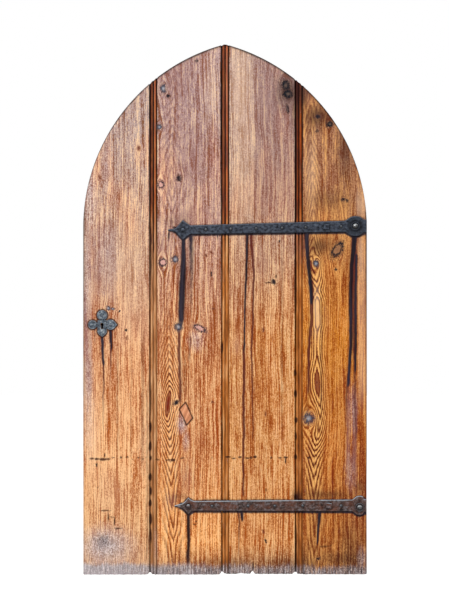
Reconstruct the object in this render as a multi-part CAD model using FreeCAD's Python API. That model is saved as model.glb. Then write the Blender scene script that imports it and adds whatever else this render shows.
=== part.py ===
import FreeCAD
import Part
import math
import os

# A pointed-arch plank door leaf on two hook-and-band hinges, with a rim lock on its back.
# Millimetres. X runs from the lock edge to the hinge edge, Y from the show face to the ledged back,
# Z is up. The origin is the middle of the leaf's foot, halfway through the thickness of the boards.

Vector = FreeCAD.Vector

# The four boards, from the lock edge to the hinge edge
lock_board_width = 245.0
inner_left_board_width = 261.5
inner_right_board_width = 268.0
hinge_board_width = 262.0
board_gap = 4.5
board_thickness = 40.0

# The arch, which is struck from two centres on the springing line
springing_height = 1284.0
arch_radius = 703.0

# Tongue and groove, and the two reeds worked beside each tongue
tongue_thickness = 12.0
tongue_hold = 10.0
groove_side_clearance = 0.4
groove_end_clearance = 1.5
reed_width = 8.5
reed_drop = 0.8
quirk_width = 4.0
quirk_depth = 6.0
board_arris = 2.0

# Wear at the foot of the boards
foot_corner_width = 7.0
foot_corner_height = 5.0
nick_from_board_edge = 111.0
nick_width = 17.0
nick_height = 14.0

# Ledges and braces on the back
ledge_thickness = 28.0
ledge_height = 140.0
head_ledge_height = 110.0
ledge_inset = 31.0
ledge_chamfer = 5.0
head_ledge_below_apex = 304.1
lock_over_ledge = 14.0
brace_foot = 250.0
brace_inset = 62.0

# Nails that hold ledges and braces, driven from the back
ledge_nail_radius = 2.4
ledge_nail_head_radius = 6.0
ledge_nail_crown_radius = 1.8
ledge_nail_head_height = 2.6
ledge_nail_bite = 26.0
ledge_nail_row_share = 0.27
ledge_nail_column_shares = (0.26, 0.74)

# Wood and iron fasteners sit in holes this much wider, all round
hole_clearance = 0.12

# Hinge bands: forged straps that turn round the leaf's edge and end in a rolled eye behind it
strap_thickness = 6.0
strap_bend_radius = 5.0
pin_radius = 8.0
pin_clearance = 0.06
eye_to_leaf = 1.0
eye_slit = 1.2
eye_height = 48.0
edge_notch_clearance = 0.5

upper_eye_over_springing = 7.0
upper_band = {
    "eye_z": springing_height + upper_eye_over_springing,
    "fall_deg": 1.26,
    "reach": 738.0,
    "chamfer": 1.4,
    "diamond_from_tip": 57.0,
    "diamond_half": 37.0,
    "diamond_flank": 28.0,
    "diamond_hollow": 1.0,
    "neck_half": 6.0,
    "tip_half": 4.5,
    "bar_end_half": 16.5,
    "bar_start_half": 21.0,
    "rosette": 43.0,
    "rosette_length": 38.0,
    "rosette_half": 37.0,
    "rosette_spike_drop": 0.0,
    "square_bolt": 150.0,
    "nail_shares": (0.8076, 0.6829, 0.5556, 0.4255, 0.3076, 0.1301),
}
lower_band = {
    "eye_z": 257.0,
    "fall_deg": 0.15,
    "reach": 714.0,
    "chamfer": 2.4,
    "diamond_from_tip": 53.0,
    "diamond_half": 32.5,
    "diamond_flank": 22.0,
    "diamond_hollow": 3.0,
    "neck_half": 9.5,
    "tip_half": 3.6,
    "bar_end_half": 19.0,
    "bar_start_half": 22.5,
    "rosette": 27.0,
    "rosette_length": 27.0,
    "rosette_half": 36.5,
    "rosette_spike_drop": 7.0,
    "square_bolt": 141.0,
    "nail_shares": (0.8025, 0.6162, 0.4776, 0.3333, 0.1345),
}

# How the rosette of a band is drawn between its named sizes
rosette_shoulder_share = 0.42
rosette_lift_share = 0.86

# Nails and bolts of the bands
strap_nail_radius = 2.6
strap_nail_head_radius = 5.6
strap_nail_crown_radius = 2.2
strap_nail_head_height = 2.4
strap_nail_bite = 14.0
bolt_radius = 5.0
bolt_end = 5.0
diamond_bolt_head_radius = 7.5
diamond_bolt_head_height = 3.6
square_bolt_head_side = 20.0
square_bolt_head_height = 4.5
square_bolt_head_chamfer = 1.2
square_bolt_turn_deg = 6.0
rosette_spike_head_radius = 10.0
rosette_spike_head_height = 7.0
rosette_spike_bite = 28.0
rosette_washer_radius = 16.5
rosette_washer_thickness = 2.6
rosette_washer_ring_width = 4.0
rosette_washer_ring_rise = 1.2
rove_side = 28.0
rove_thickness = 3.0
nut_side = 18.0
nut_height = 9.0

# Pintle hooks that carry the bands
pin_rise = 9.0
pin_nose = 3.0
collar_radius = 13.0
collar_height = 7.0
hook_drop = 24.0
hook_radius = 9.5
shoulder_radius = 10.5
shoulder_past_hook = 4.8
tail_radius = 8.0
tail_length = 130.0
tail_point = 26.0
tail_point_radius = 1.5

# Keyhole and its plate on the show face
key_from_edge = 70.5
key_below_springing = 358.0
keyhole_radius = 6.2
keyhole_slot = 15.0
keyhole_throat = 6.0
keyhole_flare = 11.0
plate_thickness = 3.0
plate_chamfer = 0.9
plate_heart_half = 17.0
plate_top_lobe_rise = 34.5
plate_top_lobe_radius = 19.5
plate_left_lobe_reach = 35.5
plate_left_lobe_radius = 16.8
plate_left_neck_half = 9.5
plate_right_lobe_reach = 30.5
plate_right_lobe_radius = 19.5
plate_right_point = 56.0
plate_bottom_lobe_drop = 24.0
plate_bottom_lobe_radius = 17.4
plate_bottom_point = 46.0
plate_nail_radius = 1.6
plate_nail_head_radius = 3.2
plate_nail_head_height = 1.4
plate_nail_bite = 18.0

# Rim lock
lock_edge_inset = 1.0
lock_plate_length = 176.0
lock_plate_below_key = 62.0
lock_plate_above_key = 80.0
lock_plate_thickness = 3.0
case_margin = 16.0
case_depth = 30.0
case_wall = 2.6
case_fillet = 3.0
pillar_radius = 5.0
pillar_inset = 14.0
case_screw_radius = 2.2
case_screw_head_radius = 5.0
case_screw_head_height = 2.2
case_screw_bite = 12.0
lock_screw_radius = 2.4
lock_screw_head_radius = 4.6
lock_screw_head_height = 2.2
lock_screw_bite = 24.0
lock_screw_inset = 8.0
screw_slot_width = 1.2
screw_slot_depth = 0.9

# Bolt of the lock, its spring, guide stud and wards
bolt_throw = 22.0
bolt_height = 26.0
bolt_head_thickness = 14.0
bolt_head_length = 44.0
bolt_tail_thickness = 8.0
bolt_length = 138.0
bolt_above_key = 12.0
bolt_side_clearance = 0.4
talon_width = 13.0
talon_depth = 6.5
stud_radius = 4.0
stud_head_radius = 6.5
stud_head_height = 2.0
stud_from_bolt_end = 22.0
stud_slot_clearance = 0.4
spring_width = 7.0
spring_gauge = 1.2
spring_length = 56.0
spring_foot = 12.0
spring_clearance = 0.4
ward_radius = 11.0
ward_gauge = 1.6
ward_height = 6.0
ward_mouth_deg = 100.0

# The dutchman let into the inner left board
patch_from_board_edge = 131.5
patch_z = 597.0
patch_length = 61.0
patch_width = 28.7
patch_lean_deg = 24.6
patch_skew_deg = 24.0
patch_depth = 8.0
patch_proud = 1.0
patch_clearance = 0.3

overrun = 5.0
snap = 0.001

# Places that several pieces share
board_widths = {
    "board_lock_side": lock_board_width,
    "board_inner_left": inner_left_board_width,
    "board_inner_right": inner_right_board_width,
    "board_hinge_side": hinge_board_width,
}
leaf_width = sum(board_widths.values()) + (len(board_widths) - 1) * board_gap
leaf_left = -leaf_width / 2
leaf_right = leaf_width / 2
front = -board_thickness / 2
back = board_thickness / 2
ledge_back = back + ledge_thickness
arch_offset = arch_radius - leaf_width / 2
apex_height = springing_height + math.sqrt(arch_radius ** 2 - arch_offset ** 2)

strap_front = front - strap_thickness
eye_bore_radius = pin_radius + pin_clearance
eye_radius = eye_bore_radius + strap_thickness
hinge_x = leaf_right - eye_radius
hinge_y = back + eye_to_leaf + eye_radius

key_x = leaf_left + key_from_edge
key_z = springing_height - key_below_springing
plate_front = front - plate_thickness
lock_left = leaf_left + lock_edge_inset
lock_right = lock_left + lock_plate_length
lock_bottom = key_z - lock_plate_below_key
lock_top = key_z + lock_plate_above_key
lock_face = back + lock_plate_thickness
case_bottom = lock_bottom + case_margin
case_top = lock_top - case_margin
case_right = lock_right - case_margin
case_back = lock_face + case_depth
lock_middle_y = (lock_face + case_back - case_wall) / 2

BOARDS = {}


def lay_out_boards():
    """Left and right side of each board, in the order in which they stand."""
    side = leaf_left
    for name, width in board_widths.items():
        BOARDS[name] = (side, side + width)
        side += width + board_gap


# Helpers


def block(x0, x1, y0, y1, z0, z1):
    """An upright box between two corners."""
    return Part.makeBox(x1 - x0, y1 - y0, z1 - z0, Vector(x0, y0, z0))


def rod(x, z, y0, y1, radius):
    """A cylinder that runs through the door, along Y."""
    return Part.makeCylinder(radius, y1 - y0, Vector(x, y0, z), Vector(0, 1, 0))


def cone(x, z, y0, y1, radius0, radius1):
    """A tapered rod along Y, with its first radius at y0."""
    direction = Vector(0, 1 if y1 > y0 else -1, 0)
    return Part.makeCone(radius0, radius1, abs(y1 - y0), Vector(x, y0, z), direction)


def post(x, y, z0, z1, radius):
    """An upright cylinder."""
    return Part.makeCylinder(radius, z1 - z0, Vector(x, y, z0), Vector(0, 0, 1))


def line(a, b):
    return Part.LineSegment(a, b).toShape()


def arc(a, middle, b):
    return Part.Arc(a, middle, b).toShape()


def flat_face(edges):
    return Part.Face(Part.Wire(edges))


def polygon_face(points):
    return flat_face([line(a, b) for a, b in zip(points, points[1:] + points[:1])])


def through(face, y0, y1):
    """A face drawn in the XZ plane at y 0, made solid from y0 to y1."""
    moved = face.copy()
    moved.translate(Vector(0, y0, 0))
    return moved.extrude(Vector(0, y1 - y0, 0))


def chamfer_front(solid, y, size):
    """Breaks every edge of a plate that lies in the plane at y."""
    edges = [e for e in solid.Edges if all(abs(v.Y - y) < snap for v in e.Vertexes)]
    return solid.makeChamfer(size, edges)


def one_solid(shape):
    """The only solid of a shape, so that a piece that comes apart stops the build."""
    if len(shape.Solids) != 1:
        raise ValueError("expected one solid, found %d" % len(shape.Solids))
    return shape.Solids[0]


def export(name, solids):
    """Writes one node, as one solid or as a group of separate ones."""
    found = []
    for shape in solids:
        found += shape.Solids
    whole = found[0] if len(found) == 1 else Part.makeCompound(found)
    whole.exportStep(os.path.join("parts", name + ".step"))


# The arch and the boards


def arch_half_width(z, inset):
    """Half the width of the leaf at a height, less an inset all round."""
    rise = max(0.0, z - springing_height)
    return math.sqrt((arch_radius - inset) ** 2 - rise ** 2) - arch_offset


def arch_face(inset):
    """The leaf's outline in the XZ plane, drawn in by an inset along both sides and the arch."""
    radius = arch_radius - inset
    half = leaf_width / 2 - inset
    crown = springing_height + math.sqrt(radius ** 2 - arch_offset ** 2)
    to_crown = math.atan2(crown - springing_height, arch_offset)
    haunch_x = radius * math.cos(to_crown / 2) - arch_offset
    haunch_z = springing_height + radius * math.sin(to_crown / 2)
    foot_left, foot_right = Vector(-half, 0, 0), Vector(half, 0, 0)
    spring_left, spring_right = Vector(-half, 0, springing_height), Vector(half, 0, springing_height)
    top = Vector(0, 0, crown)
    return flat_face([
        line(foot_left, foot_right),
        line(foot_right, spring_right),
        arc(spring_right, Vector(haunch_x, 0, haunch_z), top),
        arc(top, Vector(-haunch_x, 0, haunch_z), spring_left),
        line(spring_left, foot_left),
    ])


def reeded_edge(left):
    """Edges of the show face from a board's left side to where its flat begins, and that last point."""
    crown = front + reed_drop
    spring = crown + reed_width / 2
    bed = front + quirk_depth
    pitch = reed_width + quirk_width
    edges = []
    for x, next_y in ((left, spring), (left + pitch, front)):
        end = Vector(x + reed_width, spring, 0)
        low = Vector(end.x, bed, 0)
        far = Vector(x + pitch, bed, 0)
        edges += [
            arc(Vector(x, spring, 0), Vector(x + reed_width / 2, crown, 0), end),
            line(end, low),
            line(low, far),
            line(far, Vector(x + pitch, next_y, 0)),
        ]
    return edges, Vector(left + 2 * pitch, front, 0)


def board_plan(left, right, tongued, grooved):
    """A board seen from above: reeds and tongue on its left side, groove on its right."""
    half = tongue_thickness / 2
    tip = left - board_gap - tongue_hold
    edges = []
    back_left = Vector(left, back, 0)
    if tongued:
        shown, flat = reeded_edge(left)
        corners = [
            back_left,
            Vector(left, half, 0),
            Vector(tip, half, 0),
            Vector(tip, -half, 0),
            Vector(left, -half, 0),
            Vector(left, front + reed_drop + reed_width / 2, 0),
        ]
        edges += [line(a, b) for a, b in zip(corners, corners[1:])] + shown
    else:
        arris_side = Vector(left, front + board_arris, 0)
        flat = Vector(left + board_arris, front, 0)
        edges += [line(back_left, arris_side), line(arris_side, flat)]
    corners = [flat, Vector(right - board_arris, front, 0), Vector(right, front + board_arris, 0)]
    if grooved:
        cheek = half + groove_side_clearance
        bed = right - tongue_hold - groove_end_clearance
        corners += [
            Vector(right, -cheek, 0),
            Vector(bed, -cheek, 0),
            Vector(bed, cheek, 0),
            Vector(right, cheek, 0),
        ]
    corners += [Vector(right, back, 0), back_left]
    edges += [line(a, b) for a, b in zip(corners, corners[1:])]
    return flat_face(edges)


def foot_wear(name, left, right):
    """The corners that are worn off a board's foot, and the nick in the inner right board."""
    cuts = []
    worn = []
    if name != "board_lock_side":
        worn.append((left, 1))
    if name != "board_hinge_side":
        worn.append((right, -1))
    for side, inward in worn:
        outer = side - inward * (tongue_hold + board_gap + overrun)
        points = [
            Vector(outer, 0, -overrun),
            Vector(outer, 0, foot_corner_height),
            Vector(side, 0, foot_corner_height),
            Vector(side + inward * foot_corner_width, 0, 0),
            Vector(side + inward * foot_corner_width, 0, -overrun),
        ]
        cuts.append(through(polygon_face(points), front - overrun, back + overrun))
    if name == "board_inner_right":
        middle = left + nick_from_board_edge
        points = [
            Vector(middle - nick_width / 2, 0, 0),
            Vector(middle, 0, nick_height),
            Vector(middle + nick_width / 2, 0, 0),
            Vector(middle + nick_width / 2, 0, -overrun),
            Vector(middle - nick_width / 2, 0, -overrun),
        ]
        cuts.append(through(polygon_face(points), front - overrun, back + overrun))
    return cuts


def edge_notch(band):
    """Where the band is let into the hinge edge, so that it lies flush as it turns round it."""
    half = eye_height / 2 + edge_notch_clearance
    return block(leaf_right - strap_thickness, leaf_right + overrun, front - overrun, back + overrun,
                 band["eye_z"] - half, band["eye_z"] + half)


def board(name, holes):
    left, right = BOARDS[name]
    plan = board_plan(left, right, name != "board_lock_side", name != "board_hinge_side")
    stave = plan.extrude(Vector(0, 0, apex_height))
    whole = through(arch_face(0.0), front - overrun, back + overrun).common(stave)
    return whole.cut(foot_wear(name, left, right) + holes)


# Ledges and braces

bottom_ledge_z = lower_band["eye_z"]
middle_ledge_z = lock_bottom - lock_over_ledge - ledge_height / 2
top_ledge_z = upper_band["eye_z"] - math.tan(math.radians(upper_band["fall_deg"])) * upper_band["reach"] / 2
head_ledge_z = apex_height - head_ledge_below_apex

LEDGES = {
    "ledge_bottom": (bottom_ledge_z, ledge_height),
    "ledge_middle": (middle_ledge_z, ledge_height),
    "ledge_top": (top_ledge_z, ledge_height),
    "ledge_head": (head_ledge_z, head_ledge_height),
}
BRACES = {
    "brace_lower": ("ledge_bottom", "ledge_middle"),
    "brace_upper": ("ledge_middle", "ledge_top"),
}


def ledge(name, holes):
    """A ledge whose ends follow the outline of the leaf, with its back arrises broken."""
    z, height = LEDGES[name]
    low, high = z - height / 2, z + height / 2
    band = block(leaf_left, leaf_right, back, ledge_back, low, high)
    solid = one_solid(through(arch_face(ledge_inset), back, ledge_back).common(band))
    solid = chamfer_front(solid, ledge_back, ledge_chamfer)
    return solid.cut(holes)


def brace_points(name):
    """The foot stands on the lower ledge by the hinge edge, the head under the upper one by the lock."""
    below, above = BRACES[name]
    foot_z = LEDGES[below][0] + LEDGES[below][1] / 2
    head_z = LEDGES[above][0] - LEDGES[above][1] / 2
    foot_x, head_x = leaf_right - brace_inset, leaf_left + brace_inset
    return [
        Vector(foot_x, 0, foot_z),
        Vector(foot_x - brace_foot, 0, foot_z),
        Vector(head_x, 0, head_z),
        Vector(head_x + brace_foot, 0, head_z),
    ]


def brace(name, holes):
    solid = through(polygon_face(brace_points(name)), back, ledge_back)
    return chamfer_front(solid, ledge_back, ledge_chamfer).cut(holes)


def ledge_nail_places(name):
    """Two nails for each board that the ledge crosses, one high and one low."""
    z, height = LEDGES[name]
    reach = arch_half_width(z + height / 2, ledge_inset)
    places = []
    for left, right in BOARDS.values():
        near, far = max(left, -reach), min(right, reach)
        for n, share in enumerate(ledge_nail_column_shares):
            lift = ledge_nail_row_share * height * (1 if n % 2 else -1)
            places.append((near + share * (far - near), z + lift))
    return places


def brace_nail_places(name):
    """One nail where the brace's middle line crosses the middle of each board."""
    foot_near, foot_far, head_far, _ = brace_points(name)
    start_x, start_z = (foot_near.x + foot_far.x) / 2, foot_near.z
    end_x, end_z = head_far.x + brace_foot / 2, head_far.z
    places = []
    for left, right in BOARDS.values():
        near, far = max(left, end_x), min(right, start_x)
        x = (near + far) / 2
        places.append((x, start_z + (x - start_x) * (end_z - start_z) / (end_x - start_x)))
    return places


def back_nail(x, z):
    """A rose-headed nail from the back of a ledge, blind in the board."""
    shank = rod(x, z, back - ledge_nail_bite, ledge_back, ledge_nail_radius)
    head = cone(x, z, ledge_back, ledge_back + ledge_nail_head_height,
                ledge_nail_head_radius, ledge_nail_crown_radius)
    return shank.fuse(head)


def back_nail_hole(x, z):
    end = back - ledge_nail_bite - hole_clearance
    return rod(x, z, end, ledge_back + overrun, ledge_nail_radius + hole_clearance)


# Hinge bands and pintles

BANDS = {"upper": upper_band, "lower": lower_band}


def on_band(band, along, up):
    """A point of a band, from its distance from the leaf's hinge edge and its height over the middle."""
    fall = math.tan(math.radians(band["fall_deg"])) * max(0.0, along - strap_thickness)
    return Vector(leaf_right - along, 0, band["eye_z"] - fall + up)


def diamond_place(band):
    """How far the middle of the diamond lies from the leaf's hinge edge."""
    return band["reach"] - band["diamond_from_tip"]


def band_wire(band, inset, y):
    """The outline of a band's flat from the bend to its tip, drawn in by an inset, in the plane at y."""
    eye_half = eye_height / 2
    rosette, length = band["rosette"], band["rosette_length"]
    shoulder = length * rosette_shoulder_share
    lift = eye_half + (band["rosette_half"] - eye_half) * rosette_lift_share
    diamond, flank, hollow = diamond_place(band), band["diamond_flank"], band["diamond_hollow"]
    start = (strap_thickness, eye_half)
    near_foot = (max(rosette - length, strap_thickness + strap_bend_radius), eye_half)
    near_shoulder = (rosette - shoulder, lift)
    rosette_top = (rosette, band["rosette_half"])
    far_shoulder = (rosette + shoulder, lift)
    far_foot = (rosette + length, band["bar_start_half"])
    bar_end = (diamond - flank, band["bar_end_half"])
    corner = (diamond, band["diamond_half"])
    neck = (diamond + flank, band["neck_half"])
    tip_side = (band["reach"] - band["tip_half"], band["tip_half"])
    tip = (band["reach"] - inset, inset)
    upper, lower = [], []
    for sign, edges in ((1, upper), (-1, lower)):
        def at(place, sag=0.0):
            moved = on_band(band, place[0], sign * (place[1] - inset - sag))
            return Vector(moved.x, y, moved.z)

        def bowed(a, b):
            middle = ((a[0] + b[0]) / 2, (a[1] + b[1]) / 2)
            return arc(at(a), at(middle, hollow), at(b))

        edges += [
            line(at(start), at(near_foot)),
            line(at(near_foot), at(near_shoulder)),
            arc(at(near_shoulder), at(rosette_top), at(far_shoulder)),
            line(at(far_shoulder), at(far_foot)),
            line(at(far_foot), at(bar_end)),
            bowed(bar_end, corner),
            bowed(corner, neck),
            line(at(neck), at(tip_side)),
            line(at(tip_side), at(tip)),
        ]
    closing = line(lower[0].Vertexes[0].Point, upper[0].Vertexes[0].Point)
    return Part.Wire(upper + lower[::-1] + [closing])


def bend_and_eye(band):
    """The end of a band that turns round the leaf's edge and rolls up behind it, round the pin."""
    low, high = band["eye_z"] - eye_height / 2, band["eye_z"] + eye_height / 2
    inner = leaf_right - strap_thickness
    corner = strap_bend_radius * (1 - math.sqrt(0.5))

    def at(x, y):
        return Vector(x, y, low)

    start, before = at(inner, strap_front), at(leaf_right - strap_bend_radius, strap_front)
    after, outer_end = at(leaf_right, strap_front + strap_bend_radius), at(leaf_right, hinge_y)
    inner_end, inner_corner = at(inner, hinge_y), at(inner, front)
    plan = flat_face([
        line(start, before),
        arc(before, at(leaf_right - corner, strap_front + corner), after),
        line(after, outer_end),
        line(outer_end, inner_end),
        line(inner_end, inner_corner),
        line(inner_corner, start),
    ])
    roll = post(hinge_x, hinge_y, low, high, eye_radius)
    bore = post(hinge_x, hinge_y, low - overrun, high + overrun, eye_bore_radius)
    slit = block(inner - eye_slit, inner, hinge_y - eye_radius - overrun, hinge_y,
                 low - overrun, high + overrun)
    return plan.extrude(Vector(0, 0, high - low)).fuse(roll).cut([bore, slit])


def strap(band):
    """A band: the flat with its chamfered border, the bend, and the eye."""
    crest = strap_front + band["chamfer"]
    body = Part.Face(band_wire(band, 0.0, crest)).extrude(Vector(0, front - crest, 0))
    brink = band_wire(band, band["chamfer"], strap_front)
    border = Part.makeLoft([band_wire(band, 0.0, crest), brink], True, True)
    whole = body.fuse([border, bend_and_eye(band)]).removeSplitter()
    return whole.cut([hole for _, _, hole in band_fasteners(band)])


def strap_nail(x, z):
    """A rose-headed nail through the band and the board, blind in the ledge."""
    shank = rod(x, z, strap_front, back + strap_nail_bite, strap_nail_radius)
    head = cone(x, z, strap_front, strap_front - strap_nail_head_height,
                strap_nail_head_radius, strap_nail_crown_radius)
    return shank.fuse(head)


def round_head(x, z, y, radius, height):
    """A domed head that stands forward of y: a cap of a sphere."""
    ball = (radius ** 2 + height ** 2) / (2 * height)
    sphere = Part.makeSphere(ball, Vector(x, y - height + ball, z))
    half_space = block(x - ball - overrun, x + ball + overrun, y, y + 2 * ball + overrun,
                       z - ball - overrun, z + ball + overrun)
    return sphere.cut(half_space)


def bolt_shank(x, z):
    return rod(x, z, strap_front, ledge_back + rove_thickness + nut_height + bolt_end, bolt_radius)


def square_head(x, z):
    half = square_bolt_head_side / 2
    head = block(x - half, x + half, strap_front - square_bolt_head_height, strap_front, z - half, z + half)
    head = chamfer_front(head, strap_front - square_bolt_head_height, square_bolt_head_chamfer)
    head.rotate(Vector(x, 0, z), Vector(0, 1, 0), square_bolt_turn_deg)
    return head


def band_bolts(band):
    """The two bolts that go through band, board and ledge: at the diamond, and the square-headed one."""
    diamond = on_band(band, diamond_place(band), 0)
    square = on_band(band, band["square_bolt"], 0)
    domed = round_head(diamond.x, diamond.z, strap_front,
                       diamond_bolt_head_radius, diamond_bolt_head_height)
    return [
        (diamond.x, diamond.z, bolt_shank(diamond.x, diamond.z).fuse(domed)),
        (square.x, square.z, bolt_shank(square.x, square.z).fuse(square_head(square.x, square.z))),
    ]


def rosette_place(band):
    return on_band(band, band["rosette"], -band["rosette_spike_drop"])


def rosette_spike(band):
    """The big domed spike through the rosette, blind in the board."""
    place = rosette_place(band)
    seat = strap_front - rosette_washer_thickness
    shank = rod(place.x, place.z, seat, front + rosette_spike_bite, bolt_radius)
    head = round_head(place.x, place.z, seat, rosette_spike_head_radius, rosette_spike_head_height)
    return shank.fuse(head)


def band_fasteners(band):
    """(kind, solid, hole) of every nail, bolt and spike that goes through a band."""
    found = []
    for share in band["nail_shares"]:
        place = on_band(band, share * band["reach"], 0)
        end = back + strap_nail_bite + hole_clearance
        hole = rod(place.x, place.z, strap_front - overrun, end, strap_nail_radius + hole_clearance)
        found.append(("nails", strap_nail(place.x, place.z), hole))
    for x, z, solid in band_bolts(band):
        hole = rod(x, z, strap_front - overrun, ledge_back + overrun, bolt_radius + hole_clearance)
        found.append(("bolts", solid, hole))
    place = rosette_place(band)
    end = front + rosette_spike_bite + hole_clearance
    hole = rod(place.x, place.z, strap_front - overrun, end, bolt_radius + hole_clearance)
    found.append(("spike", rosette_spike(band), hole))
    return found


def rosette_washer(band):
    """A round washer with a raised ring, under the head of the rosette's spike."""
    place = rosette_place(band)
    x, z = place.x, place.z
    washer_front = strap_front - rosette_washer_thickness
    disc = rod(x, z, washer_front, strap_front, rosette_washer_radius)
    ring = rod(x, z, washer_front - rosette_washer_ring_rise, washer_front, rosette_washer_radius)
    inner = rod(x, z, washer_front - rosette_washer_ring_rise - overrun, washer_front,
                rosette_washer_radius - rosette_washer_ring_width)
    hole = rod(x, z, washer_front - overrun, strap_front + overrun, bolt_radius + hole_clearance)
    return disc.fuse(ring.cut(inner)).removeSplitter().cut(hole)


def roves_and_nuts(band):
    """Square roves against the ledge and square nuts on them, one of each for every bolt."""
    roves, nuts = [], []
    rove_back = ledge_back + rove_thickness
    for x, z, _ in band_bolts(band):
        hole = rod(x, z, back, rove_back + nut_height + overrun, bolt_radius + hole_clearance)
        rove = block(x - rove_side / 2, x + rove_side / 2, ledge_back, rove_back,
                     z - rove_side / 2, z + rove_side / 2)
        nut = block(x - nut_side / 2, x + nut_side / 2, rove_back, rove_back + nut_height,
                    z - nut_side / 2, z + nut_side / 2)
        nut.rotate(Vector(x, 0, z), Vector(0, 1, 0), 3 * square_bolt_turn_deg)
        roves.append(rove.cut(hole))
        nuts.append(nut.cut(hole))
    return roves, nuts


def pintle(band):
    """A hook: upright pin, collar that the eye seats on, elbow, and a tail driven back to its shoulder."""
    seat = band["eye_z"] - eye_height / 2
    tail_z = seat - hook_drop
    pin_top = band["eye_z"] + eye_height / 2 + pin_rise
    pin = post(hinge_x, hinge_y, seat, pin_top - pin_nose, pin_radius)
    nose = Part.makeCone(pin_radius, pin_radius - pin_nose, pin_nose,
                         Vector(hinge_x, hinge_y, pin_top - pin_nose))
    collar = post(hinge_x, hinge_y, seat - collar_height, seat, collar_radius)
    elbow = post(hinge_x, hinge_y, tail_z - hook_radius, seat - collar_height, hook_radius)
    shoulder_end = hinge_y + hook_radius + shoulder_past_hook
    shoulder = rod(hinge_x, tail_z, hinge_y, shoulder_end, shoulder_radius)
    tail = rod(hinge_x, tail_z, hinge_y, hinge_y + tail_length - tail_point, tail_radius)
    point = cone(hinge_x, tail_z, hinge_y + tail_length - tail_point, hinge_y + tail_length,
                 tail_radius, tail_point_radius)
    return pin.fuse([nose, collar, elbow, shoulder, tail, point]).removeSplitter()


# Keyhole plate and rim lock


def keyhole_face():
    """A round eye over a flared slot, in the XZ plane."""
    throat, flare = keyhole_throat / 2, keyhole_flare / 2
    join = math.sqrt(keyhole_radius ** 2 - throat ** 2)
    foot = key_z - keyhole_slot
    left_join, right_join = Vector(key_x - throat, 0, key_z - join), Vector(key_x + throat, 0, key_z - join)
    left_foot, right_foot = Vector(key_x - flare, 0, foot), Vector(key_x + flare, 0, foot)
    return flat_face([
        arc(right_join, Vector(key_x, 0, key_z + keyhole_radius), left_join),
        line(left_join, left_foot),
        line(left_foot, right_foot),
        line(right_foot, right_join),
    ])


def keyhole(y0, y1):
    return through(keyhole_face(), y0 - overrun, y1 + overrun)


PLATE_LOBES = (
    (0.0, plate_top_lobe_rise, plate_top_lobe_radius),
    (-plate_left_lobe_reach, 0.0, plate_left_lobe_radius),
    (plate_right_lobe_reach, 0.0, plate_right_lobe_radius),
    (0.0, -plate_bottom_lobe_drop, plate_bottom_lobe_radius),
)


def drawn_out(lobe, point):
    """The tip that a round lobe is drawn out to: sides that leave its circle at a tangent."""
    x, z, radius = lobe
    centre = math.hypot(x, z)
    outward = Vector(x / centre, 0, z / centre)
    across = Vector(-outward.z, 0, outward.x)
    tangent = math.acos(radius / (point - centre))
    middle = Vector(key_x + x, 0, key_z + z)
    touch = outward * (radius * math.cos(tangent))
    side = across * (radius * math.sin(tangent))
    return through(polygon_face([middle, middle + touch + side, middle + outward * (point - centre),
                                 middle + touch - side]), plate_front, front)


def keyhole_plate():
    """Four uneven lobes round a square heart, two of them drawn out to a point."""
    heart = block(key_x - plate_heart_half, key_x + plate_heart_half, plate_front, front,
                  key_z - plate_heart_half, key_z + plate_heart_half)
    lobes = [rod(key_x + x, key_z + z, plate_front, front, radius) for x, z, radius in PLATE_LOBES]
    tips = [drawn_out(PLATE_LOBES[2], plate_right_point), drawn_out(PLATE_LOBES[3], plate_bottom_point)]
    neck = block(key_x - plate_left_lobe_reach, key_x, plate_front, front,
                 key_z - plate_left_neck_half, key_z + plate_left_neck_half)
    whole = one_solid(heart.fuse(lobes + tips + [neck]).removeSplitter())
    whole = chamfer_front(whole, plate_front, plate_chamfer)
    return whole.cut([keyhole(plate_front, front)] + plate_nail_holes())


def plate_nails():
    """A small domed nail in the middle of each lobe."""
    nails = []
    for x, z, _ in PLATE_LOBES:
        shank = rod(key_x + x, key_z + z, plate_front, front + plate_nail_bite, plate_nail_radius)
        head = round_head(key_x + x, key_z + z, plate_front, plate_nail_head_radius, plate_nail_head_height)
        nails.append(shank.fuse(head))
    return nails


def plate_nail_holes():
    radius = plate_nail_radius + hole_clearance
    end = front + plate_nail_bite + hole_clearance
    return [rod(key_x + x, key_z + z, plate_front - overrun, end, radius) for x, z, _ in PLATE_LOBES]


lock_screw_places = [
    (lock_left + lock_screw_inset, lock_bottom + lock_screw_inset),
    (lock_left + lock_screw_inset, lock_top - lock_screw_inset),
    (lock_right - lock_screw_inset, lock_bottom + lock_screw_inset),
    (lock_right - lock_screw_inset, lock_top - lock_screw_inset),
]
pillar_places = [
    (case_right - pillar_inset, case_bottom + pillar_inset),
    (case_right - pillar_inset, case_top - pillar_inset),
    (lock_left + pillar_inset, case_bottom + pillar_inset),
]

lock_bolt_low = key_z + bolt_above_key
lock_bolt_high = lock_bolt_low + bolt_height
stud_x = lock_left + bolt_length - stud_from_bolt_end - bolt_throw
stud_z = (lock_bolt_low + lock_bolt_high) / 2


def slotted_screw(x, z, y0, seat, radius, head_radius, head_height):
    """A round-headed wood or case screw that points forward, with a driver slot."""
    shank = rod(x, z, y0, seat, radius)
    head = cone(x, z, seat, seat + head_height, head_radius, head_radius - head_height / 2)
    slot = block(x - head_radius - overrun, x + head_radius + overrun,
                 seat + head_height - screw_slot_depth, seat + head_height + overrun,
                 z - screw_slot_width / 2, z + screw_slot_width / 2)
    return shank.fuse(head).cut(slot)


def lock_screws():
    return [slotted_screw(x, z, back - lock_screw_bite, lock_face, lock_screw_radius,
                          lock_screw_head_radius, lock_screw_head_height) for x, z in lock_screw_places]


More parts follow.
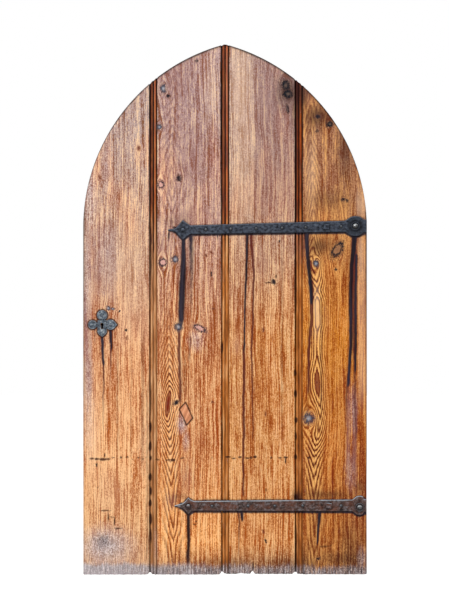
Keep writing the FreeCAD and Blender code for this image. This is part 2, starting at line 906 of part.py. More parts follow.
def lock_screw_holes():
    radius = lock_screw_radius + hole_clearance
    end = back - lock_screw_bite - hole_clearance
    return [rod(x, z, end, lock_face + overrun, radius) for x, z in lock_screw_places]


def case_screws():
    return [slotted_screw(x, z, case_back - case_wall - case_screw_bite, case_back, case_screw_radius,
                          case_screw_head_radius, case_screw_head_height) for x, z in pillar_places]


def case_screw_holes():
    radius = case_screw_radius + hole_clearance
    end = case_back - case_wall - case_screw_bite - hole_clearance
    return [rod(x, z, end, case_back + overrun, radius) for x, z in pillar_places]


def lock_plate():
    """The plate on the back of the board, with the pillars that the case is screwed to."""
    plate = block(lock_left, lock_right, back, lock_face, lock_bottom, lock_top)
    pillars = [rod(x, z, lock_face, case_back - case_wall, pillar_radius) for x, z in pillar_places]
    stud_hole = rod(stud_x, stud_z, back - overrun, lock_face + overrun, stud_radius + hole_clearance)
    cuts = [keyhole(back, lock_face), stud_hole] + lock_screw_holes() + case_screw_holes()
    return plate.fuse(pillars).cut(cuts)


def lock_case():
    """A box that is open towards the door, with a keyhole in its back and a mouth for the bolt."""
    outer = block(lock_left, case_right, lock_face, case_back, case_bottom, case_top)
    upright = [e for e in outer.Edges
               if all(v.Y > case_back - overrun and v.X > case_right - overrun for v in e.Vertexes)]
    outer = outer.makeFillet(case_fillet, upright)
    inner = block(lock_left + case_wall, case_right - case_wall, lock_face - overrun,
                  case_back - case_wall, case_bottom + case_wall, case_top - case_wall)
    gap = bolt_side_clearance
    half = bolt_head_thickness / 2 + gap
    mouth = block(lock_left - overrun, lock_left + case_wall + overrun,
                  lock_middle_y - half, lock_middle_y + half, lock_bolt_low - gap, lock_bolt_high + gap)
    return outer.cut([inner, mouth, keyhole(case_back - case_wall, case_back)] + case_screw_holes())


def lock_bolt():
    """Head, thinner tail with a slot for the stud, and the talon that the key's bit catches."""
    end = lock_left + bolt_length
    head = block(lock_left, lock_left + bolt_head_length,
                 lock_middle_y - bolt_head_thickness / 2, lock_middle_y + bolt_head_thickness / 2,
                 lock_bolt_low, lock_bolt_high)
    tail = block(lock_left + bolt_head_length, end,
                 lock_middle_y - bolt_tail_thickness / 2, lock_middle_y + bolt_tail_thickness / 2,
                 lock_bolt_low, lock_bolt_high)
    slot_radius = stud_radius + stud_slot_clearance
    tail_front, tail_back = head.BoundBox.YMin - overrun, head.BoundBox.YMax + overrun
    slot = block(stud_x, stud_x + bolt_throw, tail_front, tail_back,
                 stud_z - slot_radius, stud_z + slot_radius)
    slot_ends = [rod(x, stud_z, tail_front, tail_back, slot_radius) for x in (stud_x, stud_x + bolt_throw)]
    talon = block(key_x - talon_width / 2, key_x + talon_width / 2, tail_front, tail_back,
                  lock_bolt_low - overrun, lock_bolt_low + talon_depth)
    return head.fuse(tail).removeSplitter().cut(slot_ends + [slot, talon])


def bolt_spring():
    """A leaf spring riveted along the bolt's tail that arches up to bear on the roof of the case."""
    foot_x = lock_left + bolt_head_length + spring_foot
    far_x = foot_x + spring_length
    roof = case_top - case_wall - spring_clearance
    base = lock_bolt_high
    y0 = lock_middle_y - spring_width / 2

    def side(lift):
        a, b = Vector(foot_x, y0, base + lift), Vector(far_x, y0, base + lift)
        crest = Vector((foot_x + far_x) / 2, y0, roof - spring_gauge + lift)
        return a, b, arc(a, crest, b)

    low_a, low_b, low = side(0.0)
    high_a, high_b, high = side(spring_gauge)
    bow = flat_face([low, line(low_b, high_b), high, line(high_a, low_a)])
    bow = bow.extrude(Vector(0, spring_width, 0))
    foot = block(foot_x - spring_foot, foot_x, y0, y0 + spring_width, base, base + spring_gauge)
    return bow.fuse(foot).removeSplitter()


def guide_stud():
    """The stud that the bolt's slot runs on, riveted into the plate, with a head behind the bolt."""
    head_start = lock_middle_y + bolt_tail_thickness / 2 + bolt_side_clearance
    shank = rod(stud_x, stud_z, back, head_start, stud_radius)
    head = rod(stud_x, stud_z, head_start, head_start + stud_head_height, stud_head_radius)
    return shank.fuse(head).removeSplitter()


def ward(y0, y1):
    """A bent strip round the key's way, open below where the bit goes in."""
    ring = rod(key_x, key_z, y0, y1, ward_radius).cut(
        rod(key_x, key_z, y0 - overrun, y1 + overrun, ward_radius - ward_gauge))
    spread = ward_radius * math.tan(math.radians(ward_mouth_deg / 2))
    mouth = through(polygon_face([
        Vector(key_x, 0, key_z),
        Vector(key_x - spread, 0, key_z - ward_radius),
        Vector(key_x - spread, 0, key_z - ward_radius - overrun),
        Vector(key_x + spread, 0, key_z - ward_radius - overrun),
        Vector(key_x + spread, 0, key_z - ward_radius),
    ]), y0 - overrun, y1 + overrun)
    return ring.cut(mouth)


# The dutchman


def patch_face(grow):
    """A leaning parallelogram in the XZ plane, grown along its sides."""
    lean, skew = math.radians(patch_lean_deg), math.radians(patch_skew_deg)
    along = Vector(math.sin(lean), 0, -math.cos(lean))
    across = Vector(math.cos(lean + skew), 0, math.sin(lean + skew))
    middle = Vector(BOARDS["board_inner_left"][0] + patch_from_board_edge, 0, patch_z)
    half_length, half_width = patch_length / 2 + grow, patch_width / 2 / math.cos(skew) + grow
    return polygon_face([
        middle - along * half_length - across * half_width,
        middle - along * half_length + across * half_width,
        middle + along * half_length + across * half_width,
        middle + along * half_length - across * half_width,
    ])


def main():
    os.makedirs("parts", exist_ok=True)
    lay_out_boards()
    back_nails = {name: ledge_nail_places(name) for name in LEDGES}
    back_nails.update({name: brace_nail_places(name) for name in BRACES})
    nail_holes = [back_nail_hole(x, z) for places in back_nails.values() for x, z in places]
    band_holes = [hole for band in BANDS.values() for _, _, hole in band_fasteners(band)]
    lock_holes = [keyhole(front, back)] + plate_nail_holes() + lock_screw_holes()
    patch_pocket = [through(patch_face(patch_clearance), front - overrun, front + patch_depth)]

    own_holes = {
        "board_lock_side": lock_holes,
        "board_inner_left": patch_pocket,
        "board_inner_right": [],
        "board_hinge_side": [edge_notch(band) for band in BANDS.values()],
    }
    for name, (left, right) in BOARDS.items():
        near = [h for h in nail_holes + band_holes
                if left - board_gap - tongue_hold < h.BoundBox.XMax and h.BoundBox.XMin < right]
        export(name, [board(name, near + own_holes[name])])
    for name, (z, height) in LEDGES.items():
        near = [h for h in nail_holes + band_holes if abs(h.BoundBox.Center.z - z) < height / 2]
        export(name, [ledge(name, near)])
    for name in BRACES:
        export(name, [brace(name, [back_nail_hole(x, z) for x, z in back_nails[name]])])
    for name, places in back_nails.items():
        export(name + "_nails", [back_nail(x, z) for x, z in places])

    for side, band in BANDS.items():
        fasteners = band_fasteners(band)
        roves, nuts = roves_and_nuts(band)
        export("strap_" + side, [strap(band)])
        for group in ("nails", "bolts", "spike"):
            export("strap_" + side + "_" + group, [solid for kind, solid, _ in fasteners if kind == group])
        export("strap_" + side + "_washer", [rosette_washer(band)])
        export("strap_" + side + "_roves", roves)
        export("strap_" + side + "_nuts", nuts)
        export("pintle_" + side, [pintle(band)])

    export("keyhole_plate", [keyhole_plate()])
    export("keyhole_plate_nails", plate_nails())
    export("lock_plate", [lock_plate()])
    export("lock_case", [lock_case()])
    export("lock_screws", lock_screws())
    export("lock_case_screws", case_screws())
    export("lock_bolt", [lock_bolt()])
    export("lock_bolt_spring", [bolt_spring()])
    export("lock_guide_stud", [guide_stud()])
    export("lock_wards", [ward(lock_face, lock_face + ward_height),
                          ward(case_back - case_wall - ward_height, case_back - case_wall)])
    export("repair_patch", [through(patch_face(0.0), front - patch_proud, front + patch_depth)])


main()
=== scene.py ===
import bmesh
import bpy
import math
import numpy as np
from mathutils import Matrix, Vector, noise
from mathutils.geometry import delaunay_2d_cdt


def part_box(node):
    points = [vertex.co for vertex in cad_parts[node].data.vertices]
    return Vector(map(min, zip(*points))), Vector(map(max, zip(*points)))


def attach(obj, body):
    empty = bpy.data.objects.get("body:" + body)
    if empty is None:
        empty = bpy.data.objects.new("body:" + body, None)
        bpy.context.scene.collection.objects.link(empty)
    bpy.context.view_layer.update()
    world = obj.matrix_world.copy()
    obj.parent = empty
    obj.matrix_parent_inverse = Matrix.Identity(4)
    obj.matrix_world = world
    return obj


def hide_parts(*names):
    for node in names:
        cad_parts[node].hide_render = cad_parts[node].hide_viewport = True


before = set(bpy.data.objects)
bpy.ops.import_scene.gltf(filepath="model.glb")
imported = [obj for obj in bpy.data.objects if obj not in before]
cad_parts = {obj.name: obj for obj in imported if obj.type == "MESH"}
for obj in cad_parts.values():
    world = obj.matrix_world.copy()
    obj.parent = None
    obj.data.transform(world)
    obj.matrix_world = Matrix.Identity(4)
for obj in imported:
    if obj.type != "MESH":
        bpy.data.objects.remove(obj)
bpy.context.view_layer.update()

# Lengths are millimetres unless a name says otherwise, in the axes of the CAD part.
MM = 0.001
PIXEL = 3.7
PIXEL_MIDDLE = 225.0
PIXEL_FOOT = 575.0
PHOTO_WIDE = 449
PHOTO_HIGH = 612
HALF_WIDTH = 525.0
LEAF_HEIGHT = 1964.0


def place_x(px):
    return (np.asarray(px, float) - PIXEL_MIDDLE) * PIXEL


def place_z(py):
    return (PIXEL_FOOT - np.asarray(py, float)) * PIXEL


def linear(rgb):
    """A colour of 0 to 255 as the shader's linear colour."""
    parts = [c / 255 for c in rgb]
    return [c / 12.92 if c <= 0.04045 else ((c + 0.055) / 1.055) ** 2.4 for c in parts] + [1.0]


# Short calls for meshes


def read_vectors(items, key, count):
    flat = np.empty(count * 3)
    items.foreach_get(key, flat)
    return flat.reshape(-1, 3)


def store(mesh, values):
    """Writes a number for each vertex, under each name."""
    for key, value in values.items():
        layer = mesh.attributes.new(key, "FLOAT", "POINT")
        layer.data.foreach_set("value", value.astype(np.float32))


def place_object(name, data):
    thing = bpy.data.objects.new(name, data)
    bpy.context.scene.collection.objects.link(thing)
    return thing


def settle(piece):
    """Gives a piece the mesh that its modifiers make."""
    bpy.context.view_layer.update()
    mesh = bpy.data.meshes.new_from_object(piece.evaluated_get(bpy.context.evaluated_depsgraph_get()))
    piece.modifiers.clear()
    piece.data = mesh
    return mesh


def shells(name, *stacks):
    """A mesh of closed shells, each a stack of rings of points in millimetres."""
    work = bmesh.new()
    for rings in stacks:
        layers = [[work.verts.new([part * MM for part in point]) for point in ring] for ring in rings]
        for low, high in zip(layers, layers[1:]):
            for k in range(len(low)):
                work.faces.new((low[k - 1], low[k], high[k], high[k - 1]))
        work.faces.new(layers[0][::-1])
        work.faces.new(layers[-1])
    bmesh.ops.recalc_face_normals(work, faces=work.faces)
    mesh = bpy.data.meshes.new(name)
    work.to_mesh(mesh)
    work.free()
    return mesh


# Short calls for materials


class Nodes:
    """The calls that add nodes to a tree."""

    def __init__(self, tree):
        self.tree = tree
        tree.nodes.clear()

    def add(self, kind, settings=None, **inputs):
        node = self.tree.nodes.new(kind)
        for key, value in (settings or {}).items():
            setattr(node, key, value)
        for key, value in inputs.items():
            self.feed(node.inputs[key.replace("_", " ")], value)
        return node

    def feed(self, socket, value):
        """Links a socket or sets it. A colour of three parts runs from 0 to 255."""
        if isinstance(value, bpy.types.NodeSocket):
            self.tree.links.new(value, socket)
        elif socket.type == "RGBA" and len(value) == 3:
            socket.default_value = linear(value)
        else:
            socket.default_value = value

    def fill(self, node, *values):
        """Feeds the first sockets of a node, in turn."""
        for socket, value in zip(node.inputs, values):
            self.feed(socket, value)
        return node.outputs

    def math(self, operation, *values, clamp=False):
        return self.fill(self.add("ShaderNodeMath", {"operation": operation, "use_clamp": clamp}), *values)[0]

    def vectors(self, operation, *values):
        return self.fill(self.add("ShaderNodeVectorMath", {"operation": operation}), *values)

    def seen_apart(self, lit, seen, output):
        """Ends the tree with one shader for its light and another for what the camera sees."""
        camera_ray = self.add("ShaderNodeLightPath").outputs["Is Camera Ray"]
        both = self.fill(self.add("ShaderNodeMixShader"), camera_ray, lit.outputs[0], seen.outputs[0])
        self.add(output, Surface=both[0])


class Look(Nodes):
    """A material, whose colour is laid on in coats."""

    def __init__(self, name):
        self.material = bpy.data.materials.new(name)
        self.material.use_nodes = True
        super().__init__(self.material.node_tree)
        self.place = self.add("ShaderNodeTexCoord").outputs["Object"]
        self.colour = None

    def turn(self, lean):
        """Turns the places that noise is drawn in, in degrees seen from the front."""
        turned = self.add("ShaderNodeMapping", Vector=self.place, Rotation=(0, math.radians(lean), 0))
        self.place = turned.outputs[0]

    def attribute(self, name):
        return self.add("ShaderNodeAttribute", {"attribute_name": name}).outputs["Fac"]

    def times(self, a, b, clamp=False):
        return self.math("MULTIPLY", a, b, clamp=clamp)

    def total(self, start, *terms):
        """A value with others added, each times its weight."""
        for value, weight in terms:
            start = self.math("MULTIPLY_ADD", value, weight, start)
        return start

    def stirred(self, start, *terms):
        """A value with layers of noise added, each times its weight. Their middle, one half, adds nothing."""
        for value, weight in terms:
            start = self.math("MULTIPLY_ADD", self.math("SUBTRACT", value, 0.5), weight, start)
        return start

    def blend(self, a, b, share, kind="MIX"):
        node = self.add("ShaderNodeMix", {"data_type": "RGBA", "blend_type": kind})
        for socket, value in ((0, share), (6, a), (7, b)):
            self.feed(node.inputs[socket], value)
        return node.outputs[2]

    def tint(self, coat, share, weight=None, kind="MIX"):
        """Lays a coat over the colour so far. The mix keeps its share between 0 and 1."""
        if weight is not None:
            share = self.times(share, weight)
        self.colour = self.blend(self.colour, coat, share, kind)

    def ramp(self, share, stops):
        node = self.add("ShaderNodeValToRGB", Fac=share)
        marks = node.color_ramp.elements
        while len(marks) < len(stops):
            marks.new(0.5)
        for mark, (place, _) in zip(marks, stops):
            mark.position = place
        for mark, (_, colour) in zip(marks, stops):
            mark.color = [colour] * 3 + [1.0] if isinstance(colour, float) else linear(colour)
        return node.outputs[0]

    def slope(self, value, zero, one):
        """0 at the first place and 1 at the second, straight between them and level beyond."""
        return self.ramp(value, sorted(((zero, 0.0), (one, 1.0))))

    def clouds(self, scale, detail=3.0, roughness=0.55, offset=(0, 0, 0), source=None, distortion=0.0):
        """Noise from 0 to 1 whose grain is set by three scales, in features a metre."""
        place = self.add("ShaderNodeMapping", Vector=source or self.place, Scale=scale, Location=offset)
        return self.add("ShaderNodeTexNoise", Vector=place.outputs[0], Scale=1.0, Detail=detail,
                        Roughness=roughness, Distortion=distortion).outputs["Fac"]

    def finish(self, roughness, height, depth, strength, metal=0.0, gloss=0.5):
        bump = self.add("ShaderNodeBump", Height=height, Strength=strength, Distance=depth)
        shader = self.add("ShaderNodeBsdfPrincipled", Base_Color=self.colour, Roughness=roughness,
                          Metallic=metal, Specular_IOR_Level=gloss, Normal=bump.outputs[0])
        self.add("ShaderNodeOutputMaterial", Surface=shader.outputs[0])
        return self.material


# The boards: shape. Stains lie on what stands further forward than STAINED.

SPRINGING = 1284.0
ARCH_RADIUS = 703.0
ARCH_OFFSET = 178.0
FRONT = -20.0
BACK = 20.0
STAINED = -12.0
TONGUE = 14.5
GROOVE = 11.5
CHEEK = 6.0
BEAD_PITCH = 12.5
BEAD_RADIUS = 4.25
BEAD_MIDDLE = -14.95
BOARD_ROWS = 372
FOOT_ROUND = 3.4
ARCH_ROUND = 2.0
KEYHOLE = (-454.5, 926.0)
KEYHOLE_RADIUS = 6.2
KEYHOLE_SLOT = (5.5, 15.0)

BOARDS = {
    "board_lock_side": dict(left=-525.0, right=-280.0, tongue=False, groove=True, seed=1.7),
    "board_inner_left": dict(left=-275.5, right=-14.0, tongue=True, groove=True, seed=8.3),
    "board_inner_right": dict(left=-9.5, right=258.5, tongue=True, groove=True, seed=15.1),
    "board_hinge_side": dict(left=263.0, right=525.0, tongue=True, groove=False, seed=23.9),
}


def arch_height(x):
    return SPRINGING + np.sqrt(np.maximum(ARCH_RADIUS ** 2 - (np.abs(x) + ARCH_OFFSET) ** 2, 0.0))


def foot_height(name, x):
    """The worn underside of a board: its corners, chips and nick, over the floor."""
    board = BOARDS[name]
    chips = 0.9 + 0.5 * np.sin(x * 0.21 + board["seed"]) + 0.4 * np.sin(x * 0.57 + 3 * board["seed"])
    height = np.clip(chips, 0.0, None)
    if board["tongue"]:
        height += 6.5 * np.clip(1 - (x - board["left"]) / 13.0, 0, 1) ** 1.4
    if board["groove"]:
        height += 6.5 * np.clip(1 - (board["right"] - x) / 13.0, 0, 1) ** 1.4
    if name == "board_inner_right":
        height += 2.6 + 12.5 * np.clip(1 - np.abs(x - 101.5) / 9.0, 0, 1)
        height += 3.0 * np.exp(-((x - 62.0) / 16.0) ** 2)
    if name == "board_hinge_side":
        height += 1.4
    return height


def board_plan(board):
    """The outline of a board seen from above, from the front left, with its share of bead and of painted
    shade with dirt in the hollows.
    """
    left, right = board["left"], board["right"]
    points = []
    if board["tongue"]:
        for start in (left, left + BEAD_PITCH):
            for step in range(11):
                turn = math.pi * (1 - step / 10)
                # Painted shade with dirt, darkest in the quirks beside each bead
                shade = {0: 0.75, 1: 0.3, 9: 0.3, 10: 0.75}.get(step, 0.0)
                x = start + BEAD_RADIUS * (1 + math.cos(turn))
                points.append((x, BEAD_MIDDLE - BEAD_RADIUS * math.sin(turn), 1.0, shade))
            points += [(start + 8.5, -14.0, 1.0, 1.0), (start + 10.5, -13.9, 1.0, 1.0)]
            points.append((start + BEAD_PITCH, -14.0, 1.0, 1.0))
        points += [(left + 25.0, -17.0, 0.8, 0.7), (left + 25.2, -19.2, 0.4, 0.25)]
        flat_left = left + 25.6
    else:
        points += [(left + 0.1, -17.2, 0.0, 0.2), (left + 0.8, -18.9, 0.0, 0.0)]
        flat_left = left + 2.2
    flat_right = right - 2.2
    count = int((flat_right - flat_left) / 2.0)
    points += [(x, FRONT, 0.0, 0.0) for x in np.linspace(flat_left, flat_right, count + 1)]
    points += [(right - 0.8, -19.2, 0.0, 0.15), (right - 0.1, -17.4, 0.0, 0.6)]
    if board["groove"]:
        cut = ((0.0, -12.0), (0.0, -6.4), (GROOVE, -6.4), (GROOVE, 6.4), (0.0, 6.4), (0.0, 14.0))
        points += [(right - depth, y, 0.2, 1.0) for depth, y in cut]
    else:
        points += [(right, y, 0.0, 0.1) for y in (-12.0, -5.0, 2.0, 9.0, 16.0)]
    points += [(right - 0.2, BACK - 0.8, 0.0, 0.0), (right - 1.2, BACK, 0.0, 0.0)]
    count = int((right - left - 12.0) / 6.0)
    points += [(x, BACK, 0.0, 0.0) for x in np.linspace(right - 6.0, left + 6.0, count)]
    points += [(left + 1.2, BACK, 0.0, 0.0), (left + 0.2, BACK - 0.8, 0.0, 0.0)]
    if board["tongue"]:
        cut = ((0.0, 13.0), (0.0, CHEEK), (TONGUE, CHEEK), (TONGUE, -CHEEK), (0.0, -CHEEK))
        points += [(left - depth, y, 0.2, 1.0) for depth, y in cut]
        points.append((left, -11.0, 0.3, 1.0))
    else:
        points += [(left, y, 0.0, 0.1) for y in (14.0, 7.0, 0.0, -7.0, -13.0)]
    return np.array(points)


def smooth_path(pairs, at_z):
    """A value set at heights of the photograph, smoothed between them."""
    rows = sorted((float(place_z(py)), value) for py, value in pairs)
    grid = np.arange(-60.0, 2040.0, 2.5)
    values = np.interp(grid, [r[0] for r in rows], [r[1] for r in rows])
    spread = np.exp(-np.linspace(-2.2, 2.2, 13) ** 2)
    padded = np.pad(values, 6, mode="edge")
    values = np.convolve(padded, spread / spread.sum(), mode="valid")
    return np.interp(at_z, grid, values)


# The boards: how the tree grew. Two boards show the heart of the tree. For each: the heart line (x, at pixel
# heights), the rings between the heart and the show face, where each whole number is a dark line across the
# heart line, how strong the figure is, and half its width.
RING_SIDE = 6.4
HEART_ROUND = 7.0

HEART = {
    "board_inner_left": dict(
        half=30,
        line=(
            (45, 173), (115, 170), (185, 170), (300, 171), (380, 170.5), (391, 171), (403, 169), (416, 167),
            (428, 168), (441, 169), (463, 169.7), (487, 171), (530, 173.3), (575, 174),
        ),
        rings=(
            (45, 25), (115, 18), (150, 14), (185, 11.5), (215, 14), (250, 13), (290, 12), (310, 11),
            (325, 10), (335, 9), (343, 8), (350, 7), (358, 6), (365, 5), (372, 4), (380, 3), (384.8, 2),
            (390, 1), (396, 0.2), (403, 0), (411, 0.2), (418, 1), (423, 2), (428, 3), (433.5, 4),
            (441.5, 5), (448.6, 6), (456, 7), (463, 8), (475, 9), (487, 10), (510, 11), (530, 12),
            (541, 13), (575, 14),
        ),
        figure=(
            (45, 0.1), (130, 0.16), (215, 0.2), (300, 0.1), (345, 0.28), (366, 0.5), (380, 0.95), (430, 1),
            (460, 0.6), (541, 0.6), (575, 0.4),
        ),
    ),
    "board_hinge_side": dict(
        half=27,
        line=(
            (45, 312), (140, 313), (236, 316), (263, 315.6), (288, 317), (354, 317), (383, 316.5),
            (409, 316), (435, 315.3), (480, 314.5), (575, 314),
        ),
        rings=(
            (45, 20), (140, 12), (180, 8), (220, 5), (236, 4), (245, 3), (255, 2), (262, 0.5), (276, 1),
            (283, 2), (290, 3), (296, 2), (302, 1.15), (325, 1.15), (331, 1.9), (345, 2), (354, 1.9),
            (361, 1.5), (368, 1), (376, 0.35), (390, 0.35), (398, 1), (409, 2), (420, 3), (435, 4),
            (441.4, 5), (446.7, 6), (452, 7), (458.3, 8), (468, 9), (480, 10), (500, 11), (540, 12),
            (575, 14),
        ),
        figure=(
            (45, 0.1), (130, 0.22), (225, 0.22), (262, 0.8), (300, 1), (400, 1), (480, 1), (500, 0.5),
            (575, 0.3),
        ),
    ),
}

# Knots by kind: place and radii in pixels of the photograph, lean in degrees, and how far the grain bends
KNOTS = {
    "board_lock_side": {
        "grey": ((108.2, 308.3, 1.9, 1.8, 0, 1.2), (112.8, 308.9, 1.6, 1.1, 0, 0.8)),
        "black": (
            (119.5, 311.2, 0.8, 0.9, 0, 0.8), (126.1, 330, 1.1, 1.2, 0, 1.2), (96.7, 465, 0.8, 1.5, 0, 0.8),
        ),
        "red": (
            (126.6, 338, 0.9, 2.2, 12, 0.9), (99.8, 177.5, 1.3, 2.4, -25, 1.4),
            (139, 148, 1.6, 2.2, 0, 1.4),
        ),
    },
    "board_inner_left": {
        "grey": (
            (163.3, 88.6, 2.7, 3.7, 0, 1.6), (159.3, 127, 2.2, 2.3, 0, 1.5), (175.2, 259.4, 3, 3, 0, 1.2),
            (178.3, 326.8, 3.3, 3.2, 0, 1.2),
        ),
        "black": (
            (168.3, 96, 1.6, 1.6, 0, 0.9), (178.8, 178.2, 2.2, 2.6, 0, 1.4),
            (176.2, 402.6, 2.8, 1.7, -34, 1.2), (211.4, 273.9, 0.6, 2.2, 0, 0.7),
            (196.6, 61, 1.6, 1.2, 0, 1),
        ),
        "ring": (
            (160.9, 184.7, 3.2, 3, 8, 1.6), (162.9, 262.4, 3.9, 3.6, -22, 1.5),
            (199.8, 328.2, 6.2, 2.6, 26, 1.1),
        ),
        "red": (
            (212.6, 402, 1.2, 1.2, 0, 1), (205.8, 255.2, 1.9, 1.2, 30, 1),
            (211.6, 252.6, 1.7, 0.8, 30, 0.6), (213.4, 308.7, 1.5, 0.9, 0, 1),
        ),
    },
    "board_inner_right": {
        "burnt": ((285.6, 85.4, 3.3, 4, -20, 1.5), (288, 94, 4, 3.4, 10, 1.5)),
        "black": (
            (287.6, 109, 1.3, 4.2, -8, 0.6), (279.4, 241.2, 0.9, 1.2, 0, 0.8),
            (273.4, 281.8, 1.8, 2.4, -35, 1.1), (265.6, 541, 0.8, 2.2, -16, 0.8),
        ),
        "red": (
            (263.3, 329.6, 1.1, 1.8, 0, 0.8), (265.7, 414, 0.8, 2.2, 0, 0.8),
            (263.6, 531.5, 0.9, 1.8, 0, 0.8),
        ),
    },
    "board_hinge_side": {
        "black": (
            (317.9, 116.6, 2.2, 1.8, 0, 1), (317.2, 130.9, 1.3, 1.4, 0, 1.2),
            (343.2, 199.4, 2, 1.4, 0, 1.4), (346.8, 200.4, 1.4, 1.2, 0, 1), (335.9, 269.6, 1.2, 1.3, 0, 1),
            (318.3, 558.6, 1.7, 1.2, -15, 1.1),
        ),
        "burnt": ((329.7, 124, 2.6, 2.2, 0, 1.6),),
        "eye": ((337.3, 249.8, 3.9, 7.4, 34, 1.3),),
        "grey": ((315.9, 263.6, 2.4, 2.7, 0, 1.9), (308.6, 418.4, 4.4, 4.6, 0, 1.8)),
        "red": ((316.8, 382.4, 1, 1.3, 0, 0.6),),
    },
}


def grain(name, x, z):
    """Each point's place across the grain, its ring, the strength of the figure and the dark core, all bent
    round knots."""
    seed = BOARDS[name]["seed"]
    across = x + 2.6 * np.sin(z / 171.0 + seed)
    across += 1.5 * np.sin(z / 67.0 + 2.1 * seed + x / 160.0) + 0.7 * np.sin(z / 23.0 + 3.3 * seed + x / 31.0)
    for px, py, rx, rz, _, bend in sum(KNOTS[name].values(), ()):
        radius = bend * math.sqrt(rx * rz) * PIXEL
        side, up = x - place_x(px), (z - place_z(py)) * 0.55
        across -= side * radius ** 2 / (side ** 2 + up ** 2 + 0.35 * radius ** 2)
    if name not in HEART:
        return across, across / RING_SIDE, np.zeros_like(x), np.zeros_like(x)
    heart = HEART[name]
    side = across - place_x(smooth_path(heart["line"], z))
    spread = np.sqrt(side ** 2 + HEART_ROUND ** 2) - HEART_ROUND
    ring = spread / RING_SIDE + smooth_path(heart["rings"], z) * np.exp(-(side / 75.0) ** 2)
    figure = np.exp(-(np.abs(side) / heart["half"]) ** 3) * smooth_path(heart["figure"], z)
    return across, ring, figure, np.exp(-(ring / 0.75) ** 2) * figure


# The hinge bands: the height of the eye, how far the bar falls in degrees, how far it reaches, half its
# height along it, and painted shadow rings with dirt round its nails, with places along it from the leaf's
# edge
BANDS = {
    "upper": dict(
        eye_z=1291, fall=1.26, reach=738,
        outline=(
            (0, 24), (5, 24), (27, 35), (43, 37), (59, 35), (81, 21), (653, 16.5), (681, 37), (709, 6),
            (738, 4),
        ),
        soil_and_shade=(
            (43, 30), (96, 8), (150, 15), (227, 8.5), (314, 8.5), (410, 8.5), (504, 8.5), (596, 8.5),
            (681, 13),
        ),
    ),
    "lower": dict(
        eye_z=257, fall=0.15, reach=714,
        outline=(
            (0, 24), (11, 31), (27, 36.5), (43, 31), (54, 22.5), (639, 19), (661, 32.5), (683, 9.5),
            (714, 3),
        ),
        soil_and_shade=((27, 19), (96, 7.5), (141, 14.5), (238, 7.5), (341, 7.5), (440, 7.5), (573, 7.5), (661, 14)),
    ),
}


def on_band(name, along):
    """A place along a band, measured from the leaf's edge, as (x, z)."""
    band = BANDS[name]
    drop = 7.0 if name == "lower" and along < 50 else 0.0
    slope = math.tan(math.radians(band["fall"]))
    return HALF_WIDTH - along, band["eye_z"] - slope * max(0.0, along - 6.0) - drop


# Stains and wear, drawn with places in pixels of the photograph

